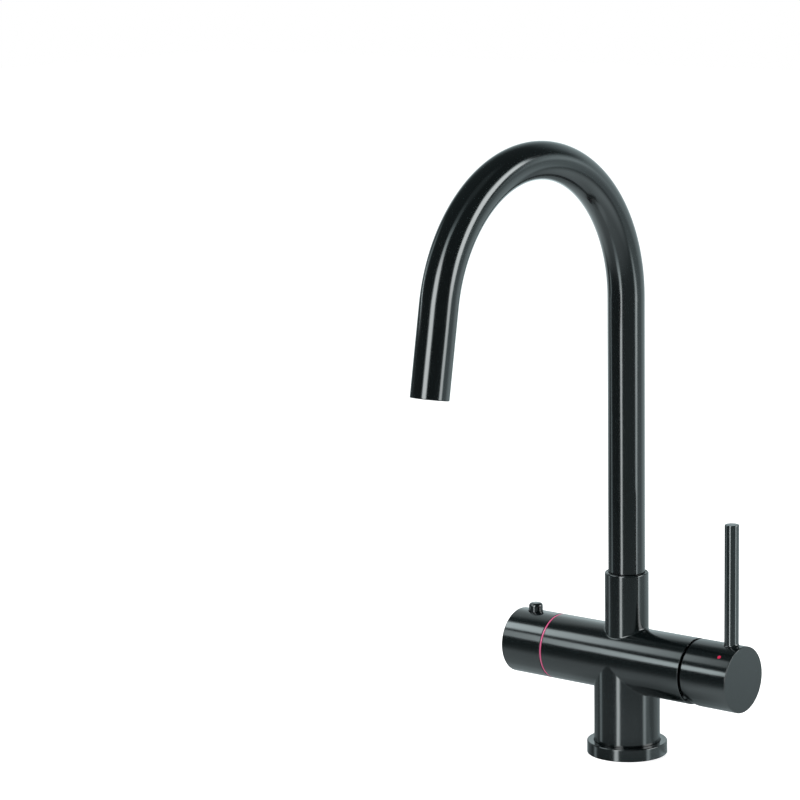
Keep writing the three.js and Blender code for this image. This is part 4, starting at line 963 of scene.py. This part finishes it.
def add_outlet():
    """The aerator in the spout's end, with the boiling nozzle in its middle."""
    axis = outlet_axis()
    wall = 1.9
    cup = 10.8
    ledge = cup - 3.5
    cup_end = OUTLET_RECESS + 10
    housing = [
        (cup - wall, OUTLET_RECESS, HAIRLINE), (cup, OUTLET_RECESS, HAIRLINE), (cup, cup_end, INNER_EDGE),
        (ledge, cup_end, INNER_EDGE), (ledge, cup_end - wall), (cup - wall, cup_end - wall),
    ]
    build("aerator_cup", "spout", turned(housing, axis), "dark_plastic", "aerator_housing")
    bore = 2.0
    tip = 3.2
    bore_edge = 0.25
    tip_edge = 0.35
    tip_end = OUTLET_RECESS + 5.6
    socket = 3.8
    socket_floor = OUTLET_RECESS + 6.5
    collar = 4.7
    nozzle_end = OUTLET_RECESS + 12.5
    nozzle = [
        (bore, OUTLET_RECESS, bore_edge), (tip, OUTLET_RECESS, tip_edge), (tip, tip_end),
        (collar, tip_end, INNER_EDGE), (collar, nozzle_end), (socket, nozzle_end), (socket, socket_floor),
        (bore, socket_floor),
    ]
    build("boiling_outlet_tip", "spout", turned(nozzle, axis), "steel", "boiling_nozzle")


def add_glide_ring():
    bottom = low("spout_glide_ring", "z")
    gap = 0.25  # to the pipe, and below the neck's rim
    edge = 0.15
    top = NECK_TOP - gap
    outer = high("spout_glide_ring", "x")
    inner = PIPE_RADIUS + gap
    outline = [(inner, bottom), (outer, bottom), (outer, top, edge), (inner, top, edge)]
    patches = turned(outline, upright_axis())
    build("glide_ring", "root", patches, "dark_plastic", "spout_glide_ring", GLOSSY_PLASTIC)


def add_dome():
    """The ball-shaped cover in the gap behind the tilting hub."""
    start = low("dome_cover", "x")
    end = high("dome_cover", "x")
    radius = 18.64
    wall = 1.2
    lip_radius = 9.5
    steps = 12
    first, last = (math.acos((station - PIVOT_X) / radius) for station in (start, end))
    angles = np.linspace(first, last, steps + 1)
    outer = [(radius * math.sin(a), PIVOT_X + radius * math.cos(a)) for a in angles]
    inner = [((radius - wall) * math.sin(a), PIVOT_X + (radius - wall) * math.cos(a)) for a in angles[::-1]]
    outline = outer + [(lip_radius, end), (lip_radius, end - wall)]
    outline += [spot for spot in inner if spot[1] < end - wall]
    patches = turned(outline, BAR_AXIS)
    build("dome_shell", "root", patches, "gunmetal", "dome_cover", DOME_METAL)


# --- Studio ---


def direction(azimuth, elevation):
    a = math.radians(azimuth)
    e = math.radians(elevation)
    return Vector((math.cos(a) * math.cos(e), math.sin(a) * math.cos(e), math.sin(e)))


def strip_light(n, azimuth, elevation):
    """The tall strip in front. It looks wider and stronger from the spout's outlet, which hangs nearer to it,
    and it leans and blurs towards its top."""
    upright_part = n.ramp(elevation, 6, 18, -85.5, -82.5)
    leaning_top = n.ramp(elevation, 46, 72, 0, 16.5)
    shifted_foot = n.ramp(elevation, -36, -18, -3.5, 0)
    centre = n.total(upright_part, leaning_top, shifted_foot)
    widened = n.ramp(elevation, -3, 7, 5.6, 11.8)
    narrowed = n.ramp(elevation, 26, 40, 0, -2.2)
    blurred_top = n.ramp(elevation, 46, 68, 0, 9.5)
    blurred_foot = n.ramp(elevation, -36, -18, 3.5, 0)
    half = n.total(widened, narrowed, blurred_top, blurred_foot)
    off = n.math("DIVIDE", n.math("ABSOLUTE", n.less(azimuth, centre)), half)
    across = n.ramp(off, 0.58, 1.42, 1, 0)
    low_part = n.ramp(elevation, -50, -4, 0.45, 4.6)
    high_part = n.ramp(elevation, 22, 66, 5.7, 0.35)
    upper = n.ramp(elevation, -4, 7, 0, 1)
    strength = n.total(n.product(low_part, n.less(1, upper)), n.product(high_part, upper))
    return n.product(across, strength, n.between(elevation, -56, 70, 7))


def overhead_glow(n, azimuth, elevation):
    """A faint glow high up in front and at the right."""
    strength = 0.12
    return n.product(n.between(azimuth, -78, 52, 18), n.between(elevation, 66, 84, 6), strength)


def right_light(n, azimuth, elevation):
    """The large light at the right, narrow near the floor and slanting backwards higher up."""
    start = n.ramp(elevation, 14, 32, 3.6, 22, smooth=False)
    low_end = n.ramp(elevation, -14, 7, 14.5, 27, smooth=False)
    end = n.total(low_end, n.ramp(elevation, 7, 19, 0, 20, smooth=False))
    past_start = n.ramp(n.less(azimuth, start), -3.5, 3.5, 0, 1)
    before_end = n.ramp(n.less(end, azimuth), -4, 4, 0, 1)
    inside = n.product(past_start, before_end, n.between(elevation, -19, 29, 4.5))
    strength = n.ramp(elevation, -20, 12, 1.6, 5.8)
    spill_strength = 0.9
    spill = n.product(n.between(azimuth, 46, 62, 7), n.between(elevation, 2, 18, 6), spill_strength)
    return n.total(n.product(inside, strength), spill)


def left_light(n, azimuth, elevation):
    """A weak strip low at the left, and a patch of light further up behind it."""
    side = n.math("ABSOLUTE", azimuth)
    swung = n.less(side, n.ramp(elevation, -11, -5, 0, 9))
    left_only = n.ramp(azimuth, -1, 1, 1, 0)
    strip_strength = 1.05
    strip = n.product(
        n.between(swung, 154, 163, 5), left_only, n.between(elevation, -22, -2.5, 3.5), strip_strength)
    lump_strength = 0.98
    lump = n.product(n.ramp(side, 166, 182, 0, 1), n.between(elevation, 4, 23, 6), lump_strength)
    return n.total(strip, lump)


def backdrop_light(n, azimuth, elevation):
    """The white backdrop behind the tap, fading upwards and sideways, with a dark gap above the floor."""
    fade_end = n.ramp(azimuth, 52, 96, 34, 50)
    start = n.less(azimuth, n.ramp(elevation, 2, 20, 0, 24))
    right_fade = n.ramp(start, 36, 62, 0, 1)
    left_fade = n.ramp(azimuth, 108, 172, 1, 0)
    upper_fade = n.ramp(n.less(elevation, fade_end), -34, 0, 1, 0)
    lower_fade = n.ramp(elevation, -21, -28, 1, 0.1)
    strength = 0.70
    white = n.product(right_fade, left_fade, upper_fade, lower_fade, strength)
    beside_strength = 0.37
    beside = n.product(n.between(azimuth, 6, 44, 8), n.between(elevation, -24, 6, 4), beside_strength)
    return n.total(white, beside)


def horizon_light(n, azimuth, elevation):
    """The dim far floor in front of the tap."""
    return n.product(n.ramp(azimuth, -104, -80, 0, 0.10), n.ramp(elevation, 4, -9, 0, 1))


def add_world():
    """White behind, dark in front and overhead, grey below: what the metal mirrors. The camera sees white."""
    n = Nodes("studio", "worlds")
    bpy.context.scene.world = n.owner
    n.owner.cycles.sampling_method = "NONE"
    x, y, z = n.add("SeparateXYZ", Vector=n.add("TexCoord").outputs["Generated"]).outputs
    azimuth = n.math("DEGREES", n.math("ARCTAN2", y, x))
    elevation = n.math("DEGREES", n.math("ARCSINE", z))
    lights = (strip_light, overhead_glow, right_light, left_light, backdrop_light, horizon_light)
    dark = 0.07
    mirrored = n.total(dark, *[light(n, azimuth, elevation) for light in lights])
    path = n.add("LightPath").outputs
    glossy = path["Is Glossy Ray"]
    seen = n.math("MAXIMUM", path["Is Camera Ray"], path["Is Transmission Ray"])
    plain = 0.5  # for what is neither seen nor mirrored
    other = n.total(n.product(mirrored, glossy), n.product(n.less(1, glossy), plain))
    strength = n.total(seen, n.product(other, n.less(1, seen)))
    white = (1, 1, 1)
    dim_tint = (0.80, 1.0, 1.04)
    bright_tint = (0.945, 1.0, 1.005)
    tint = n.blend(n.ramp(mirrored, 0.2, 4.5, 0, 1, smooth=False), dim_tint, bright_tint)
    colour = n.blend(seen, n.blend(glossy, white, tint), white)
    n.end(n.add("Background", Color=colour, Strength=strength))


def sheet(name, length, width, material):
    """A flat sheet for the stage, in metres, whose glow is no lamp."""
    mesh = bpy.data.meshes.new(name)
    spots = [(i * length / 2, j * width / 2, 0) for i, j in ((-1, -1), (1, -1), (1, 1), (-1, 1))]
    mesh.from_pydata(spots, [], [(0, 1, 2, 3)])
    material.cycles.emission_sampling = "NONE"
    mesh.materials.append(material)
    return bpy.data.objects.new(name, mesh)


def add_panel(name, centre, along, across, length, width, strength, soft, ends):
    """A soft-edged light panel, in metres, that only the gloss shows, and only from the side it faces.

    ends is how its strength changes along its width."""
    u = Vector(along).normalized()
    w = u.cross(Vector(across)).normalized()
    v = w.cross(u)
    n = Nodes(name)
    x, y, _ = n.add("SeparateXYZ", Vector=n.place()).outputs
    edge = soft * width / 2
    share_x = n.ramp(n.math("ABSOLUTE", x), length / 2, length / 2 - edge, 0, 1)
    share_y = n.ramp(n.math("ABSOLUTE", y), width / 2, width / 2 - edge, 0, 1)
    front = n.less(1, n.add("NewGeometry").outputs["Backfacing"])
    change = n.ramp(y, -width / 2, width / 2, ends[0], ends[1], smooth=False)
    level = n.product(share_x, share_y, change, strength, front)
    glow = n.add("Emission", Color=(0.87, 1.0, 1.02), Strength=level)
    panel = sheet(name, length, width, n.end(n.both(glow, n.add("BsdfTransparent"))))
    turn = Matrix((u, v, w)).transposed().to_4x4()
    panel.matrix_world = Matrix.Translation(Vector(centre)) @ turn
    for ray in ("camera", "diffuse", "shadow", "transmission"):
        setattr(panel, "visible_" + ray, False)
    link(panel)


def add_lamp(name, azimuth, elevation, distance, size, power):
    """A soft area lamp for what isn't mirror-like, and for the floor's shadow."""
    data = bpy.data.lights.new(name, "AREA")
    data.shape = "DISK"
    data.size = size
    data.energy = power
    lamp = bpy.data.objects.new(name, data)
    middle_height = Vector((0, 0, 0.2))
    lamp.location = middle_height + direction(azimuth, elevation) * distance
    lamp.rotation_euler = direction(azimuth, elevation).to_track_quat("Z", "Y").to_euler()
    lamp.visible_glossy = False
    link(lamp)


def floor_pool(n):
    """(how bright the metal mirrors the floor, how much it shows of what lies behind the floor).

    Patches of light, at the right, at the left and near in front, stand in a dimmer pool that fades away
    from the tap. A painted shadow darkens the pool right under the tap and painted shade dims it behind the
    tap;
    near the tap, at its right and back, the floor also hides more of the lights behind it as painted shade."""
    x, y, _ = n.add("SeparateXYZ", Vector=n.place()).outputs
    azimuth = n.math("DEGREES", n.math("ARCTAN2", y, x))
    side = n.math("ABSOLUTE", azimuth)
    flat = n.add("CombineXYZ", X=x, Y=y).outputs[0]
    away = n.add("VectorMath", {"operation": "LENGTH"}, Vector=flat).outputs["Value"]
    middle_light = n.ramp(away, 0.12, 0.85, 0.48, 0.06)
    painted_shade_behind = 0.5
    # Painted shade: the pool is dimmed behind the tap.
    behind = n.less(1, n.product(n.between(azimuth, 84, 130, 12), painted_shade_behind))
    growth = n.ramp(away, 0.08, 0.46, 0, 1)
    side_strength = 0.34
    right_side = n.product(n.between(azimuth, -10, 66, 16), side_strength)
    core_strength = 0.26
    right_core = n.product(n.between(azimuth, 8, 32, 12), core_strength)
    right_patch = n.product(n.total(right_side, right_core), n.ramp(away, 0.44, 0.80, 1, 0))
    left_patch = n.product(n.ramp(side, 126, 172, 0, 0.56), n.ramp(away, 0.44, 0.95, 1, 0))
    near_strength = 0.26
    near_range = n.between(away, 0.045, 0.15, 0.03)
    near_patch = n.product(n.between(azimuth, -88, -14, 14), near_range, near_strength)
    patches = n.total(n.product(growth, n.total(right_patch, left_patch)), near_patch)
    slant = n.add("LayerWeight", Blend=0.5).outputs["Facing"]
    # Painted shadow: the pool darkens right under the tap.
    painted_tap_shadow = n.ramp(away, 0.02, 0.09, 0.3, 1)
    grazing = n.ramp(slant, 0.80, 0.52, 0.12, 1)
    level = n.product(n.total(n.product(middle_light, behind), patches), painted_tap_shadow, grazing)
    # Painted shade: near the tap, at its right and back, the floor shows less of the lights behind it.
    painted_near_shade = n.product(n.ramp(away, 0.05, 0.80, 0.55, 0), n.between(azimuth, 24, None, 6))
    return level, n.less(1, painted_near_shade)


def add_floor():
    """A white floor, lit by itself for the camera, that still takes the object's shadow.

    The metal mirrors only its pool of light, with the studio's lights behind."""
    n = Nodes("floor_white")
    path = n.add("LightPath").outputs
    own_light = 0.72
    lit = n.add("BsdfDiffuse", Color=(0.80, 0.80, 0.80))
    glow = n.add("Emission", Strength=n.product(path["Is Camera Ray"], own_light))
    level, openness = floor_pool(n)
    clear = n.add("BsdfTransparent", Color=openness)
    pool = n.add("Emission", Color=(0.86, 1.0, 1.03), Strength=level)
    either = n.add("MixShader", Fac=path["Is Glossy Ray"])
    n.put(either.inputs[1], n.both(lit, glow).outputs[0])
    n.put(either.inputs[2], n.both(clear, pool).outputs[0])
    size = 12.0
    floor = sheet("floor", size, size, n.end(either))
    link(floor)


def add_studio():
    add_world()
    add_floor()
    add_panel("box_upper_left", centre=(-0.26, -0.188, 0.372), along=(0, -0.83, -0.555), across=(-1, 0, 0),
              length=0.20, width=0.38, strength=3.6, soft=0.3, ends=(0.0, 1.6))
    add_panel("box_lower_left", centre=(-0.36, -0.46, 0.268), along=(-0.55, -0.83, 0),
              across=(-0.83, 0.55, 0), length=0.46, width=0.34, strength=1.7, soft=0.35, ends=(3.1, 0.25))
    add_panel("box_behind_left", centre=(-0.33, 0.19, 0.33), along=(0.5, 0.866, 0), across=(0, 0, 1),
              length=0.60, width=0.56, strength=0.6, soft=0.6, ends=(1.3, 0.8))
    add_lamp("lamp_front_left", azimuth=-140, elevation=45, distance=1.6, size=0.9, power=14)
    add_lamp("lamp_right", azimuth=10, elevation=35, distance=1.8, size=0.9, power=9)
    add_lamp("lamp_top", azimuth=90, elevation=80, distance=1.8, size=1.4, power=8)


add_camera()
dress_cad_nodes()
add_flange()
add_body()
add_hub()
add_lever()
add_dot("hot_dot", "hot_index_dot", -1, "signal_red")
add_dot("cold_dot", "cold_index_dot", 1, "signal_blue")
add_set_screw("hub_set_screw", "hub_grub_screw", "mixer_tilt", LEVER_X)
add_set_screw("knob_set_screw", "knob_grub_screw", "boiling_handle", BUTTON_X)
add_ring()
add_knob()
add_button()
add_spout()
add_outlet()
add_glide_ring()
add_dome()
add_studio()

bpy.context.scene.view_settings.view_transform = "Standard"
